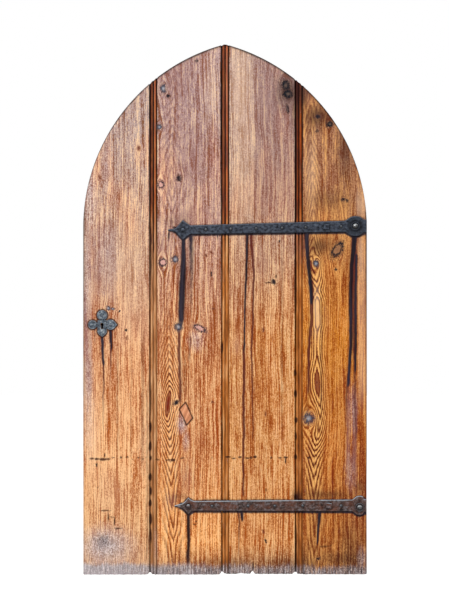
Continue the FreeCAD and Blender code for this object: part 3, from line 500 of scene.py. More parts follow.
# Each drip: its darkness at the top and at the end, and (x, y, half width) down its length
DRIPS = (
    ("ink", 1, 0.95, (
        (183.8, 235, 1.5), (183.6, 246, 1.7), (183.4, 262, 2.4), (182.4, 285, 2.9), (181.6, 305, 2.9),
        (181, 320, 2.3), (180.6, 327, 1.2))),
    ("ink", 0.6, 0.2, ((191, 235, 2.8), (191.4, 260, 2.3), (191.4, 290, 1.8), (191.2, 320, 1.2))),
    ("ink", 0.35, 0.1, ((199.2, 235, 0.8), (198.8, 250, 0.8), (198.5, 262, 0.6))),
    ("ink", 0.6, 0.2, ((168.8, 235, 0.9), (168.8, 243, 0.8))),
    ("ink", 0.7, 0.3, ((217.6, 234, 0.9), (217.6, 241, 0.7))),
    ("plum", 0.75, 0.6, (
        (179, 331, 1.4), (179.3, 350, 1.4), (179.6, 375, 1.5), (180.3, 392, 1.5), (180.6, 403, 1.2))),
    ("plum", 0.5, 0.15, ((190.5, 340, 1.2), (189.6, 358, 1.3), (188.4, 380, 0.9))),
    ("ink", 0.95, 0.7, (
        (247.4, 234, 1), (246.9, 255, 0.9), (245.5, 292, 0.7), (244.6, 320, 0.6), (244.2, 352, 0.7))),
    ("plum", 0.95, 0.7, (
        (244.2, 346, 1), (243.8, 380, 1.1), (243.7, 420, 1.1), (243.4, 460, 1), (242.8, 497, 0.8))),
    ("plum", 0.95, 0.5, (
        (251.2, 234, 1.2), (252.5, 255, 1), (253.6, 272, 0.9), (253.3, 304, 0.8), (251.6, 348, 0.8),
        (252.2, 385, 0.7), (253, 420, 0.7), (252.4, 440, 0.5))),
    ("ink", 1, 0.9, (
        (306.6, 234, 1.9), (307.6, 255, 1.7), (309.3, 274, 1.6), (311.2, 290, 1.6), (311.6, 304, 1.2))),
    ("plum", 0.95, 0.5, (
        (311.2, 284, 2), (311.9, 300, 1.9), (311.4, 320, 1.4), (309.6, 340, 1.3), (308.4, 365, 1.2),
        (307.6, 395, 0.9))),
    ("ink", 1, 1, (
        (354.6, 236, 2.2), (354.2, 246, 2.1), (352.6, 256, 1.8), (351.4, 268, 1.6), (350.8, 290, 1.6),
        (350.6, 320, 1.5), (351, 345, 1.4), (349, 372, 1.1), (348, 386, 1))),
    ("plum", 0.9, 0.4, (
        (354.4, 238, 2.6), (353.6, 262, 3), (353, 290, 2.9), (353, 316, 2.7), (353.8, 340, 1.6),
        (354.6, 360, 1.5), (354.8, 386, 1.4), (355, 410, 1.2), (356, 440, 0.9))),
    ("ink", 0.9, 0.8, (
        (356.4, 258, 1), (355.8, 290, 1.1), (355.6, 320, 1.2), (355.8, 345, 1.1), (355.2, 372, 0.9))),
    ("plum", 0.55, 0.15, ((347, 386, 1.3), (346.2, 410, 1.2), (345, 440, 0.8))),
    ("ink", 0.9, 0.7, ((102.2, 335, 1.2), (102.8, 352, 1.1), (103.5, 366, 0.9))),
    ("plum", 0.75, 0.15, ((103.4, 362, 0.9), (103.6, 385, 0.8), (103.2, 410, 0.8), (102.8, 445, 0.6))),
    ("ink", 0.9, 0.7, ((110.4, 328, 1.4), (110.9, 340, 1.2), (111.9, 350, 0.9))),
    ("plum", 0.7, 0.2, ((111.4, 348, 0.9), (110.6, 365, 0.7), (110.4, 388, 0.6))),
    ("plum", 0.5, 0.2, ((94.8, 329, 0.9), (94.8, 345, 0.8))),
    ("ink", 0.95, 0.5, ((188.3, 515, 1.3), (188.5, 530, 1.4), (188.4, 548, 1.7), (188, 564, 2.2))),
    ("ink", 1, 1, ((241.6, 511, 1.2), (242, 516, 1.2), (242.2, 520.5, 0.9))),
    ("plum", 0.7, 0.3, ((238.4, 512, 0.9), (239.4, 524, 0.8), (238.4, 540, 0.7), (239.4, 562, 0.6))),
    ("ink", 0.95, 0.6, ((319.8, 512, 1.5), (318.8, 522, 1.2), (317.8, 532, 0.9), (317, 545, 0.8))),
)

# Soft patches, by what they do: middle, radii in pixels, and strength
PATCHES = {
    "grey": (
        (106, 546, 25, 18, 0.95), (104, 126, 16, 10, 0.35), (106, 170, 5, 26, 0.35), (90, 200, 7, 40, 0.45),
        (86, 280, 6, 60, 0.5), (88, 390, 6, 70, 0.45), (106, 255, 14, 44, 0.35), (196, 340, 9, 12, 0.5),
        (182, 424, 5, 10, 0.8), (186, 441, 4, 12, 0.5), (156, 545, 3, 22, 0.4), (353, 410, 5, 30, 0.4),
        (350, 470, 6, 24, 0.35), (362, 560, 5, 14, 0.5),
    ),
    "ink": ((104, 541, 12, 9, 0.27),),
    "pale": (
        (106, 548, 26, 20, 0.95), (126, 270, 22, 40, 0.4), (92, 290, 3, 14, 0.6), (144, 450, 6, 30, 0.35),
        (108, 490, 18, 30, 0.35), (211, 92, 6, 30, 0.45), (241, 90, 11, 60, 0.7), (240, 180, 9, 44, 0.6),
        (236, 345, 5, 10, 0.35), (312, 175, 5, 36, 0.5), (362, 204, 3, 9, 0.8), (361, 260, 3, 34, 0.7),
        (92, 435, 7, 46, 0.7),
    ),
    "mauve": (
        (180, 80, 26, 36, 0.7), (190, 150, 24, 66, 0.55), (188, 215, 24, 16, 0.55), (165, 246, 12, 12, 0.5),
        (186, 478, 8, 22, 0.45), (172, 500, 8, 9, 0.5), (270, 105, 18, 60, 0.75), (268, 180, 18, 40, 0.45),
        (264, 262, 9, 20, 0.35), (300, 245, 10, 20, 0.4), (306, 92, 6, 12, 0.6),
    ),
    "dark": (
        (176, 222, 14, 6, 0.35), (285, 96, 6, 12, 0.45), (318, 116, 16, 12, 0.85), (345, 150, 8, 34, 0.6),
        (330, 200, 24, 12, 0.4), (288, 92, 12, 16, 0.9), (300, 92, 10, 10, 1), (296, 100, 5, 30, 0.9),
        (303, 78, 8, 8, 0.9), (320, 246, 12, 10, 0.75), (328, 245, 10, 12, 0.5), (350, 545, 14, 24, 0.35),
        (214, 501, 28, 2, 0.8), (262, 501, 30, 2, 0.9), (297, 496, 5, 6, 0.9), (326, 495, 26, 5, 0.6),
        (360, 488, 6, 9, 0.5), (226, 563, 34, 5, 0.4), (290, 563, 30, 6, 0.45), (344, 558, 24, 8, 0.5),
        (103, 541, 8, 8, 0.5), (180, 497, 10, 4, 0.4),
    ),
}

# Bands of tone with crisp sides, by what they do: left, right, top and bottom in pixels, and strength
TONE_BANDS = {
    "dark": (
        (222.8, 224.4, 40, 220, 0.9), (295.4, 297.2, 60, 225, 0.75), (151.8, 153, 60, 225, 0.8),
        (116.6, 118.4, 348, 470, 0.45), (130.4, 132, 350, 470, 0.35), (141, 144.4, 330, 470, 0.4),
        (146.4, 148.4, 380, 560, 0.55), (184, 186, 350, 395, 0.5), (281, 283, 250, 440, 0.35),
        (308, 310, 320, 400, 0.6), (320.6, 322, 290, 420, 0.7), (296, 307, 80, 110, 0.95),
        (308, 332, 104, 124, 0.6),
    ),
    "mauve": (
        (254, 294, 40, 218, 0.55), (162, 187, 40, 200, 0.4), (86, 116, 225, 300, 0.5),
        (84, 92, 290, 400, 0.7), (346, 350, 388, 480, 0.7), (353, 357, 388, 486, 0.7),
    ),
    "pale": (
        (238, 254, 60, 222, 0.45), (120, 148, 280, 345, 0.35), (356.4, 366, 196, 216, 0.95),
        (358, 366, 240, 400, 0.5), (314, 319.6, 292, 328, 0.8),
    ),
    "plum": ((187.4, 189, 238, 322, 0.5), (181.6, 183.2, 345, 400, 0.4)),
}

# The row of old dark marks across the leaf: middle, radii in pixels, and strength
MARKS = (
    (92, 458.6, 3, 1.3, 0.8), (97, 459, 3.5, 1.3, 0.85), (103, 459.4, 4, 1.4, 1), (108, 459, 3, 1.2, 0.85),
    (104.6, 455, 0.8, 2.6, 0.9), (113, 457.6, 2, 0.9, 0.7), (121, 457.4, 1.4, 1.4, 0.8),
    (127.2, 457, 1.8, 1, 0.85), (132.6, 459.4, 0.9, 0.9, 0.6), (138.4, 457.8, 1.4, 1, 0.8),
    (143, 459.2, 1.4, 0.9, 0.7), (146, 457.4, 1, 0.9, 0.6), (157.5, 459.6, 2.8, 0.9, 0.8),
    (168, 460, 3.4, 1, 0.85), (173, 460, 3, 1.5, 0.9), (182, 458, 3.2, 0.9, 0.75),
    (212, 457.6, 1.2, 1.1, 0.6), (228, 457, 3.2, 1, 0.95), (234, 458.2, 2.8, 0.9, 0.85),
    (240, 457.2, 2, 1.2, 1), (247, 458.2, 2.8, 0.9, 0.85), (251, 457.6, 1.8, 1.2, 0.9),
    (255, 456.8, 2.1, 1.4, 1), (271.5, 457.6, 1.3, 1.2, 0.8), (280, 458, 2.6, 0.9, 0.8),
    (285.6, 457.4, 2.4, 1.2, 1), (285.6, 461, 0.9, 3.4, 0.85), (309, 457.6, 2.6, 1.1, 0.8),
    (269, 282.6, 5, 0.9, 0.85), (273.6, 281.4, 1.5, 2.4, 1), (276, 276.6, 1, 2.6, 0.8),
    (105, 510.6, 7, 0.9, 0.75), (118, 528.4, 5, 0.9, 0.8), (108.4, 517, 0.9, 5.5, 0.7),
    (114.6, 521, 0.9, 5, 0.7), (112, 517, 4, 0.8, 0.65), (97.6, 487.6, 1, 1.4, 0.6),
    (194.5, 524.5, 2.4, 1, 0.7), (196, 521.5, 1.3, 1.6, 0.7), (324, 546.5, 6.5, 1.1, 0.65),
    (331, 545, 2, 0.8, 0.5), (253.2, 566, 0.8, 4.5, 0.9), (229.5, 568, 1, 4, 0.4), (266, 490, 0.9, 2, 0.7),
    (265.6, 497, 0.7, 4, 0.6),
)

# Rot at the joints, the same
ROT = (
    (150.6, 427, 1.3, 6, 0.85), (150.2, 446, 1.7, 5.5, 1), (150.9, 458, 1.2, 3, 0.8),
    (150.2, 477, 1.8, 4.5, 1), (150.9, 491, 1.3, 4.5, 0.9), (150.3, 503, 1.6, 4, 1),
    (150.7, 519, 1.6, 6, 1), (151, 536, 1.1, 9, 0.7), (151, 400, 1.2, 20, 0.5), (151, 250, 1.4, 40, 0.6),
    (150.5, 140, 1.6, 90, 0.7), (222, 348, 1.4, 7, 0.8), (222, 440, 1.2, 30, 0.7),
    (221, 120, 1.6, 100, 0.6), (295.4, 393.5, 1.8, 4.5, 1), (295.2, 373, 1.6, 4, 0.9),
    (296, 420, 1.8, 3, 1), (296, 436, 1.4, 5, 0.7), (295.6, 457, 1.8, 2.6, 1), (296, 498, 2.2, 4, 1),
    (295.6, 280, 1.5, 60, 0.7), (296, 160, 1.8, 70, 0.8), (297, 90, 3, 14, 1), (296, 545, 1.6, 26, 0.6),
    (299, 500, 3.5, 2, 0.7),
)


def halo(node, x, z, reach):
    """How near each point lies to the edges of a CAD node, seen from the front: 1 on an edge, 0 well away."""
    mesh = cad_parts[node].data
    place = read_vectors(mesh.vertices, "co", len(mesh.vertices))[:, [0, 2]] / MM
    ends = np.empty(len(mesh.edges) * 2, dtype=np.int32)
    mesh.edges.foreach_get("vertices", ends)
    start, stop = place[ends[0::2]], place[ends[1::2]]
    dots = np.concatenate([start + (stop - start) * share for share in np.linspace(0, 1, 12)])
    low, high = dots.min(axis=0) - 3 * reach, dots.max(axis=0) + 3 * reach
    close = np.nonzero((x > low[0]) & (x < high[0]) & (z > low[1]) & (z < high[1]))[0]
    level = np.zeros_like(x)
    for part in np.array_split(close, max(1, len(close) // 200)):
        gap = np.hypot(x[part, None] - dots[None, :, 0], z[part, None] - dots[None, :, 1]).min(axis=1)
        level[part] = np.exp(-(gap / reach) ** 2)
    return level


def rise(value, width):
    """0 well below nought, 1 well above it, and a half on it."""
    return 1 / (1 + np.exp(-value / width))


def paint(x, y, z, hollow_shade_and_dirt):
    """Strength of each stain, and of the painted shadows and shade, at every point, from the lists above."""
    front = y < STAINED
    masks = {}

    def lay(kind, level, where=front):
        masks[kind] = np.maximum(masks.get(kind, 0.0), level * where)

    def oval(px, py, rx, ry):
        """The square of the distance from a place, where 1 is an oval's rim."""
        return ((x - place_x(px)) / (rx * PIXEL)) ** 2 + ((z - place_z(py)) / (ry * PIXEL)) ** 2

    wander = 1.1 * np.sin(z / 31.0) + 0.8 * np.sin(z / 13.0 + 1.3) + 0.5 * np.sin(z / 5.5 + 0.4)
    for kind, dark_start, dark_end, points in DRIPS:
        px, py, half = np.array(points)[::-1].T
        heights = place_z(py)
        low, high = heights[0], heights[-1]
        middle = np.interp(z, heights, place_x(px))
        half = np.interp(z, heights, half * PIXEL)
        near = np.abs(z - (low + high) / 2) < (high - low) / 2 + 40
        along = np.clip((high - z) / (high - low), 0, 1)
        level = near * rise(z - low, 4.0) * rise(high + 14.0 - z, 3.0)
        level *= dark_start + (dark_end - dark_start) * along
        off = np.abs(x + (0.4 if kind == "ink" else 0.9) * wander - middle)
        lay(kind, level * np.exp(-(off / (1.02 * half + 0.6)) ** 2.8))
        if kind == "ink":
            lay("plum", level * 0.5 * np.exp(-(off / (1.7 * half + 3.0)) ** 2))
    for kind, spots in PATCHES.items():
        for *place, strength in spots:
            lay(kind, strength * np.exp(-oval(*place)))
    for kind, stripes in TONE_BANDS.items():
        for left, right, top, bottom, strength in stripes:
            sides = rise(x + wander - place_x(left), 1.6) * rise(place_x(right) - x - wander, 1.6)
            lay(kind, strength * sides * rise(place_z(top) - z, 24.0) * rise(z - place_z(bottom), 24.0))
    for spots, where in ((MARKS, front), (ROT, True)):
        for *place, strength in spots:
            lay("mark", strength * np.exp(-oval(*place) ** 1.5), where)
    # Along each hinge band, a painted shadow with iron stain below it and a thin stain above it, laid in with
    # the ink
    along = HALF_WIDTH - x
    for band in BANDS.values():
        half = np.interp(along, *zip(*band["outline"]))
        below = band["eye_z"] - math.tan(math.radians(band["fall"])) * (along - 6.0) - half - z
        shadow_and_stain_below = np.exp(-(np.maximum(below, 0) / 6.5) ** 2) * (below > -20)
        above = 0.5 * np.exp(-(np.maximum(-below - 2 * half, 0) / 4.0) ** 2) * (below < -half)
        lay("ink", np.maximum(shadow_and_stain_below, above) * rise(band["reach"] - 22.0 - along, 3.0))
    # A painted shadow: dark outlines round the let-in patch and the keyhole plate, laid in with the marks
    lay("mark", np.maximum(halo("repair_patch", x, z, 5.0), 0.85 * halo("keyhole_plate", x, z, 5.5)))
    # A painted shadow: a dark outline along the arch and the side edges, where the edges' thickness and shade
    # show from the front
    inside = np.clip(x, 0.1 - HALF_WIDTH, HALF_WIDTH - 0.1)
    rim = np.minimum(arch_height(inside) - z, HALF_WIDTH - np.abs(x)) + 0.5 * wander
    shown = 0.25 + 0.75 * rise(-16.0 - y, 1.5)
    masks["rim"] = np.exp(-(np.maximum(rim, 0) / 6.5) ** 4) * np.clip(z / 1500.0, 0.35, 1.0) * shown
    # Painted shade with dirt in the hollows of the beads and joints
    masks["hollow_shade_and_dirt"] = hollow_shade_and_dirt
    edge = 36.0 + 3.0 * np.sin(x / 33.0) + 2.0 * np.sin(x / 12.0 + 1.0) - 0.012 * x
    masks["foot"] = (0.86 - 0.0003 * x) * rise(edge - z, 5.0)
    return masks


def skin(name, points, caps):
    """A closed mesh from stacked outlines and from the points and faces that fill its two ends."""
    high, count = points.shape[:2]
    verts = points.reshape(-1, 3)
    here = np.arange(count)
    there = (here + 1) % count
    faces = []
    for row in range(0, (high - 1) * count, count):
        faces += np.stack([row + here, row + there, row + count + there, row + count + here], axis=1).tolist()
    for (added, fill), base, order in zip(caps, (0, (high - 1) * count), (-1, 1)):
        start = len(verts) - count
        faces += [[v + (base if v < count else start) for v in face][::order] for face in fill]
        verts = np.concatenate([verts, added])
    mesh = bpy.data.meshes.new(name)
    mesh.from_pydata(verts * MM, [], faces)
    mesh.validate()
    mesh.shade_smooth()
    mesh.set_sharp_from_angle(angle=math.radians(38))
    return mesh


def end_cap(ring, extra, height):
    """Fills one end of a board: the points added inside its outline, at the height of each, and the faces."""
    coords = [Vector(point) for point in ring[:, :2].tolist() + extra]
    edges = [(k, (k + 1) % len(ring)) for k in range(len(ring))]
    found, _, faces, origins, _, _ = delaunay_2d_cdt(coords, edges, [], 1, 1e-5)
    index, added = [], []
    for (x, y), source in zip(found, origins):
        if source and source[0] < len(ring):
            index.append(source[0])
        else:
            index.append(len(ring) + len(added))
            added.append((x, y, height(np.array([x]))[0]))
    return np.array(added), [[index[v] for v in face] for face in faces]


def build_board(name):
    board = BOARDS[name]
    plan = board_plan(board)
    px, py, reed, hollow_shade_and_dirt = plan.T
    tangent = np.roll(plan[:, :2], -1, axis=0) - np.roll(plan[:, :2], 1, axis=0)
    tangent /= np.linalg.norm(tangent, axis=1)[:, None] + 1e-9
    flat = (py < -19.9) & (reed < 0.1)
    top, foot = arch_height(px), foot_height(name, px)
    low_steps = (0.0, 0.5, 1.5, 3.0, 5.0, 8.0, 12.0, 17.0, 23.0)
    top_steps = (6.0, 3.5, 2.0, 1.0, 0.3, 0.0)
    start, end = foot + low_steps[-1], top - top_steps[0]
    heights = [foot + step for step in low_steps]
    heights += [start + (end - start) * share for share in np.linspace(0, 1, BOARD_ROWS)[1:-1]]
    heights += [top - step for step in top_steps]
    rows = []
    for z in heights:
        inset = np.zeros_like(px)
        for gap, radius in ((z - foot, FOOT_ROUND), (top - z, ARCH_ROUND)):
            short = np.clip(radius - gap, 0, radius)
            inset += radius - np.sqrt(np.maximum(radius ** 2 - short ** 2, 0))
        x, y = px - tangent[:, 1] * inset, py + tangent[:, 0] * inset
        sink = 0.16 + 0.16 * np.sin(px / 41.0 + z / 210.0 + board["seed"]) * np.sin(z / 133.0 + px / 77.0)
        worn = 1.4 * np.exp(-(z - foot) / 26.0) * (0.6 + 0.4 * np.sin(px / 7.0 + board["seed"]))
        rows.append(np.stack([x, y + np.where(flat, np.clip(sink + worn, 0, None), 0.0), z], axis=1))
    points = np.array(rows)
    inner = [(float(x), y) for x in px[py == FRONT][1:-1:2] for y in (-13.0, -7.6, 0.0, 7.6, 14.0)]
    caps = (end_cap(points[0], inner, lambda x: foot_height(name, x)),
            end_cap(points[-1], inner, arch_height))
    mesh = skin(name + "_skin", points, caps)
    count = len(mesh.vertices)
    x, y, z = (read_vectors(mesh.vertices, "co", count) / MM).T
    rest = count - len(px) * len(rows)
    hollow_shade_and_dirt = np.concatenate([np.tile(hollow_shade_and_dirt, len(rows)), np.full(rest, 0.35)])
    values = dict(zip(("across", "ring", "figure", "core"), grain(name, x, z)))
    values["reed"] = np.concatenate([np.tile(reed, len(rows)), np.zeros(rest)])
    store(mesh, {**values, **paint(x, y, z, hollow_shade_and_dirt)})
    piece = place_object(name + "_wood", mesh)
    piece.data.materials.append(board_look(name))
    if name == "board_lock_side":
        cut_keyhole(piece)
    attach(piece, "leaf")
    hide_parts(name)


def cut_keyhole(piece):
    """The keyhole through the board: a round eye over a slot that widens downwards."""
    x, z = KEYHOLE
    half, foot = KEYHOLE_SLOT
    turns = np.radians(np.linspace(-61, 241, 31))
    outline = [(x + KEYHOLE_RADIUS * math.cos(t), z + KEYHOLE_RADIUS * math.sin(t)) for t in turns]
    outline += [(x - half, z - foot), (x + half, z - foot)]
    mesh = shells("keyhole_cutter", [[(a, y, b) for a, b in outline] for y in (-40.0, 40.0)])
    cutter = place_object("keyhole_cutter", mesh)
    change = piece.modifiers.new("keyhole", "BOOLEAN")
    change.object = cutter
    change.solver = "EXACT"
    settle(piece)
    bpy.data.objects.remove(cutter)


# The boards: colour

# Colour up each board, from the foot to the arch: share of the height, and colour
TONES = {
    "board_lock_side": (
        (0, (192, 146, 112)), (0.08, (222, 168, 118)), (0.22, (236, 178, 124)), (0.42, (202, 140, 98)),
        (0.6, (185, 149, 128)), (0.85, (160, 142, 141)),
    ),
    "board_inner_left": (
        (0, (172, 120, 80)), (0.03, (204, 144, 90)), (0.06, (248, 178, 106)), (0.25, (200, 130, 78)),
        (0.45, (192, 128, 82)), (0.65, (175, 140, 132)), (0.9, (164, 140, 142)),
    ),
    "board_inner_right": (
        (0, (150, 106, 72)), (0.03, (178, 122, 76)), (0.06, (226, 160, 96)), (0.25, (204, 138, 76)),
        (0.45, (194, 127, 66)), (0.65, (174, 140, 122)), (0.9, (162, 140, 137)),
    ),
    "board_hinge_side": (
        (0, (110, 70, 46)), (0.03, (124, 76, 42)), (0.07, (160, 94, 42)), (0.25, (168, 88, 22)),
        (0.45, (196, 118, 28)), (0.65, (166, 112, 68)), (0.85, (150, 104, 76)),
    ),
}

# The beads beside each joint: dark, plain and light
BEAD_TONES = {
    "board_lock_side": ((140, 92, 56), (190, 142, 100), (216, 176, 136)),
    "board_inner_left": ((132, 82, 42), (180, 122, 74), (210, 164, 118)),
    "board_inner_right": ((126, 66, 20), (188, 114, 48), (218, 162, 106)),
    "board_hinge_side": ((104, 54, 18), (166, 94, 36), (208, 142, 80)),
}

# Knots by kind: colours outwards from the middle and how far they cover, with places in radii
KNOT_LOOKS = {
    "ring": (((0.0, (176, 128, 120)), (0.35, (205, 160, 148)), (0.62, (190, 140, 128)), (0.78, (52, 40, 46)),
              (1.05, (60, 46, 52)), (1.3, (150, 112, 100))), ((1.0, 1.0), (1.3, 0.45), (1.75, 0.0))),
    "grey": (((0.0, (158, 158, 164)), (0.4, (112, 116, 126)), (0.74, (50, 52, 64)), (1.1, (66, 60, 68)),
              (1.4, (122, 98, 86))), ((0.98, 0.96), (1.3, 0.5), (1.9, 0.0))),
    "eye": (((0.0, (128, 92, 66)), (0.55, (150, 104, 70)), (0.76, (30, 30, 34)), (1.06, (26, 26, 30)),
             (1.4, (98, 66, 48))), ((1.02, 1.0), (1.3, 0.55), (1.9, 0.0))),
    "burnt": (((0.0, (92, 74, 64)), (0.4, (64, 54, 50)), (0.6, (20, 22, 28)), (1.08, (18, 20, 26)),
               (1.4, (70, 48, 40))), ((1.05, 1.0), (1.3, 0.7), (1.9, 0.0))),
    "black": (((0.0, (24, 22, 28)), (1.0, (48, 36, 38)), (1.4, (110, 74, 58))),
              ((0.8, 1.0), (1.2, 0.6), (1.9, 0.0))),
    "red": (((0.0, (84, 36, 26)), (1.0, (116, 60, 40)), (1.5, (150, 92, 60))),
            ((0.7, 0.9), (1.3, 0.5), (2.0, 0.0))),
}


def knot_field(look, name, kind, flat):
    """Distance to the nearest knot of a kind, as a share of its radius."""
    nearest = None
    for px, py, rx, rz, lean, _ in KNOTS[name].get(kind, ()):
        node = look.add("ShaderNodeMapping", {"vector_type": "TEXTURE"}, Vector=flat,
                        Location=(place_x(px) * MM, 0, place_z(py) * MM), Rotation=(0, math.radians(lean), 0),
                        Scale=(rx * PIXEL * MM, 1, rz * PIXEL * MM))
        far = look.vectors("LENGTH", node.outputs[0])["Value"]
        nearest = far if nearest is None else look.math("MINIMUM", nearest, far)
    return nearest


def board_look(name):
    look = Look(name + "_look")
    seed = BOARDS[name]["seed"]
    shift = (seed, 0.0, 0.0)
    x, y, z = look.add("ShaderNodeSeparateXYZ", Vector=look.place).outputs
    ring, figure, reed, across = map(look.attribute, ("ring", "figure", "reed", "across"))
    height = look.math("DIVIDE", z, LEAF_HEIGHT * MM)
    look.colour = look.ramp(height, TONES[name])

    # The grain follows the knots: its place across, in metres, stands in for X
    flow = look.add("ShaderNodeCombineXYZ", X=look.times(across, MM), Y=y, Z=z).outputs[0]
    drift = look.clouds((7, 7, 2.4), 4.0, 0.55, shift)
    blotch = look.clouds((40, 40, 11), 3.0, 0.6, (seed, 1.0, 4.0))
    medium = look.add("ShaderNodeTexNoise", {"noise_dimensions": "1D"}, W=across, Scale=0.24, Detail=3.0,
                      Roughness=0.7).outputs["Fac"]
    streak = look.clouds((80, 80, 3), 3.0, 0.65, shift, flow)
    thin = look.clouds((270, 270, 4), 4.0, 0.6, shift, flow)
    fibre = look.clouds((300, 300, 22), 3.0, 0.7, (seed, 2.0, 0.0), flow)
    fleck = look.clouds((270, 270, 190), 2.0, 0.7, shift)
    crack = look.slope(look.clouds((300, 300, 22), 2.0, 0.5, (seed, 5.0, 2.0), flow), 0.31, 0.24)

    # Late wood: thin dark lines, one to a ring, strongest over the heart
    pulse = look.total(ring, (medium, 0.8), (thin, 0.3), (fleck, 0.3))
    saw = look.math("FRACT", look.math("ADD", pulse, 0.3))
    early = look.times(look.ramp(saw, ((0.0, 0.2), (0.14, 1.0), (0.45, 0.8), (0.6, 0.0))), figure)
    late = look.ramp(saw, ((0.42, 0.0), (0.78, 1.0), (0.92, 1.0), (1.0, 0.1)))
    late = look.times(late, look.total(0.2, (figure, 0.8)))
    late = look.times(late, look.total(0.1, (streak, 1.6)), True)
    tone = look.total(0.0, (early, 0.4), (late, -0.3))
    tone = look.stirred(tone, (medium, 0.8), (thin, 3.2), (fibre, 1.7), (streak, 1.5), (blotch, 1.2),
                        (fleck, 2.2), (drift, 0.8))
    tone = look.times(tone, look.ramp(height, ((0.0, 1.0), (0.55, 0.9), (1.0, 0.8))))

    # Patches of oiled amber and of mauve grey, then the grain
    hue = look.stirred(drift, (streak, 0.35))
    dusk = look.times(look.slope(hue, 0.5, 0.28), look.ramp(height, ((0.0, 0.3), (0.4, 0.35), (0.7, 1.0))))
    hinge_side = name == "board_hinge_side"
    look.tint((200, 104, 26), look.slope(hue, 0.5, 0.72), 0.45)
    look.tint((186, 148, 140), dusk, 0.34)
    look.tint((238, 174, 100) if hinge_side else (252, 210, 158), look.times(tone, 1.8, True), 0.6)
    look.tint((186, 132, 78), tone, -2.2, "MULTIPLY")
    look.tint((254, 200, 120) if hinge_side else (240, 172, 100), early, 0.48)
    look.tint((84, 26, 12), late, 1.05)
    look.tint((112, 36, 16), look.attribute("core"), 1.1)
    look.tint((104, 56, 36), crack, 0.6)

    # Beads keep their oiled orange, darker up in the arch
    worn = look.clouds((70, 70, 9), 3.0, 0.65, shift)
    bead = look.ramp(worn, tuple(zip((0.3, 0.5, 0.68), BEAD_TONES[name])))
    aged = look.ramp(height, ((0.0, 0.0), (0.6, 0.1), (0.7, 1.0)))
    look.tint(look.blend(bead, (210, 150, 66), aged, "MULTIPLY"), reed, 0.88)

    # Weather: pale, mauve, dark and greyed patches, and the foot
    fray = look.clouds((150, 150, 34), 3.0, 0.6, shift)

    def mask(key, low, high, spread):
        return look.slope(look.stirred(look.attribute(key), (fray, spread)), low, high)

    def ash(fleck_share, fibre_share, *stops):
        return look.ramp(look.total(0.0, (fleck, fleck_share), (fibre, fibre_share)), stops)

    look.tint((230, 196, 164), look.attribute("pale"), 0.5)
    look.tint((128, 92, 92), mask("mauve", 0.05, 1.0, 0.5), 0.7)
    look.tint((58, 30, 22), mask("dark", 0.05, 0.85, 0.5), 0.84)
    look.tint(ash(0.7, 0.3, (0.38, (80, 74, 82)), (0.5, (160, 154, 160)), (0.61, (232, 226, 232))),
              mask("grey", 0.1, 1.0, 0.3), 0.75)
    foot = ash(0.4, 0.6, (0.38, (44, 40, 42)), (0.5, (120, 113, 116)), (0.62, (212, 206, 210)))
    look.tint(look.blend(foot, (240, 232, 236), look.times(x, -0.55)), mask("foot", 0.1, 0.9, 0.9), 0.92)

    # Painted shade with dirt in the hollows of the beads and joints, blackest up in the arch
    shade_and_filth = look.ramp(height, ((0.0, 0.66), (0.1, 0.55), (0.55, 0.6), (0.66, 0.95), (1.0, 1.0)))
    shade_and_filth = look.times(shade_and_filth, look.ramp(worn, ((0.3, 1.0), (0.65, 0.5))))
    shade_and_filth = look.times(shade_and_filth, look.ramp(height, ((0.0, 0.62), (0.55, 0.6), (0.67, 1.0))))
    shade_and_soot = ((0.0, (54, 30, 18)), (0.5, (66, 34, 14)), (0.68, (20, 12, 10)), (1.0, (14, 10, 12)))
    look.tint(look.ramp(height, shade_and_soot), look.times(look.attribute("hollow_shade_and_dirt"), shade_and_filth), 1.7)
    # A painted shadow: the dark outline along the arch and the side edges
    look.tint((22, 14, 12), look.attribute("rim"), 0.94)

    # Drips with the painted shadow under the bands, marks with the painted shadow round the patch and plate,
    # and knots
    look.tint((80, 28, 26), mask("plum", 0.12, 0.6, 0.4), 0.9)
    # Ink drips, and the painted shadow under the hinge bands
    ink_and_shadow_colours = look.ramp(streak, ((0.36, (10, 10, 16)), (0.62, (30, 34, 50))))
    look.tint(ink_and_shadow_colours, mask("ink", 0.14, 0.58, 0.42), 0.93)
    # Marks and rot, and the painted shadow round the let-in patch and the keyhole plate
    look.tint((50, 20, 16), mask("mark", 0.2, 0.66, 0.62), 0.9)
    ragged = look.add("ShaderNodeTexNoise", Vector=look.place, Scale=190.0, Detail=3.0).outputs["Color"]
    ragged = look.vectors("MULTIPLY_ADD", ragged, (0.009, 0.0, 0.009), (-0.0045, 0.0, -0.0045))[0]
    flat = look.vectors("MULTIPLY_ADD", look.place, (1.0, 0.0, 1.0), ragged)[0]
    hollow = None
    for kind, (shades, cover) in KNOT_LOOKS.items():
        far = knot_field(look, name, kind, flat)
        if far is None:
            continue
        far = look.times(far, look.total(0.15, (fleck, 0.7)))
        share = look.ramp(far, [(place / 2, level) for place, level in cover])
        share = look.times(share, look.ramp(fray, ((0.36, 0.6), (0.52, 1.0))))
        look.tint(look.ramp(far, [(place / 2, shade) for place, shade in shades]), share)
        hollow = share if hollow is None else look.math("MAXIMUM", hollow, share)
    relief = look.total(0.0, (tone, 0.5), (hollow, -0.9), (look.attribute("mark"), -0.7))
    return look.finish(look.total(0.8, (late, -0.14)), relief, 0.0007, 0.5, gloss=0.12)


for board_name in BOARDS:
    build_board(board_name)


# Forged pieces: closed copies of the CAD nodes in small even faces, dented by the hammer


def neighbours(mesh):
    """For each vertex, the ends of its edges, as two long lists."""
    pairs = np.empty(len(mesh.edges) * 2, dtype=np.int32)
    mesh.edges.foreach_get("vertices", pairs)
    pairs = pairs.reshape(-1, 2)
    return np.concatenate([pairs[:, 0], pairs[:, 1]]), np.concatenate([pairs[:, 1], pairs[:, 0]])


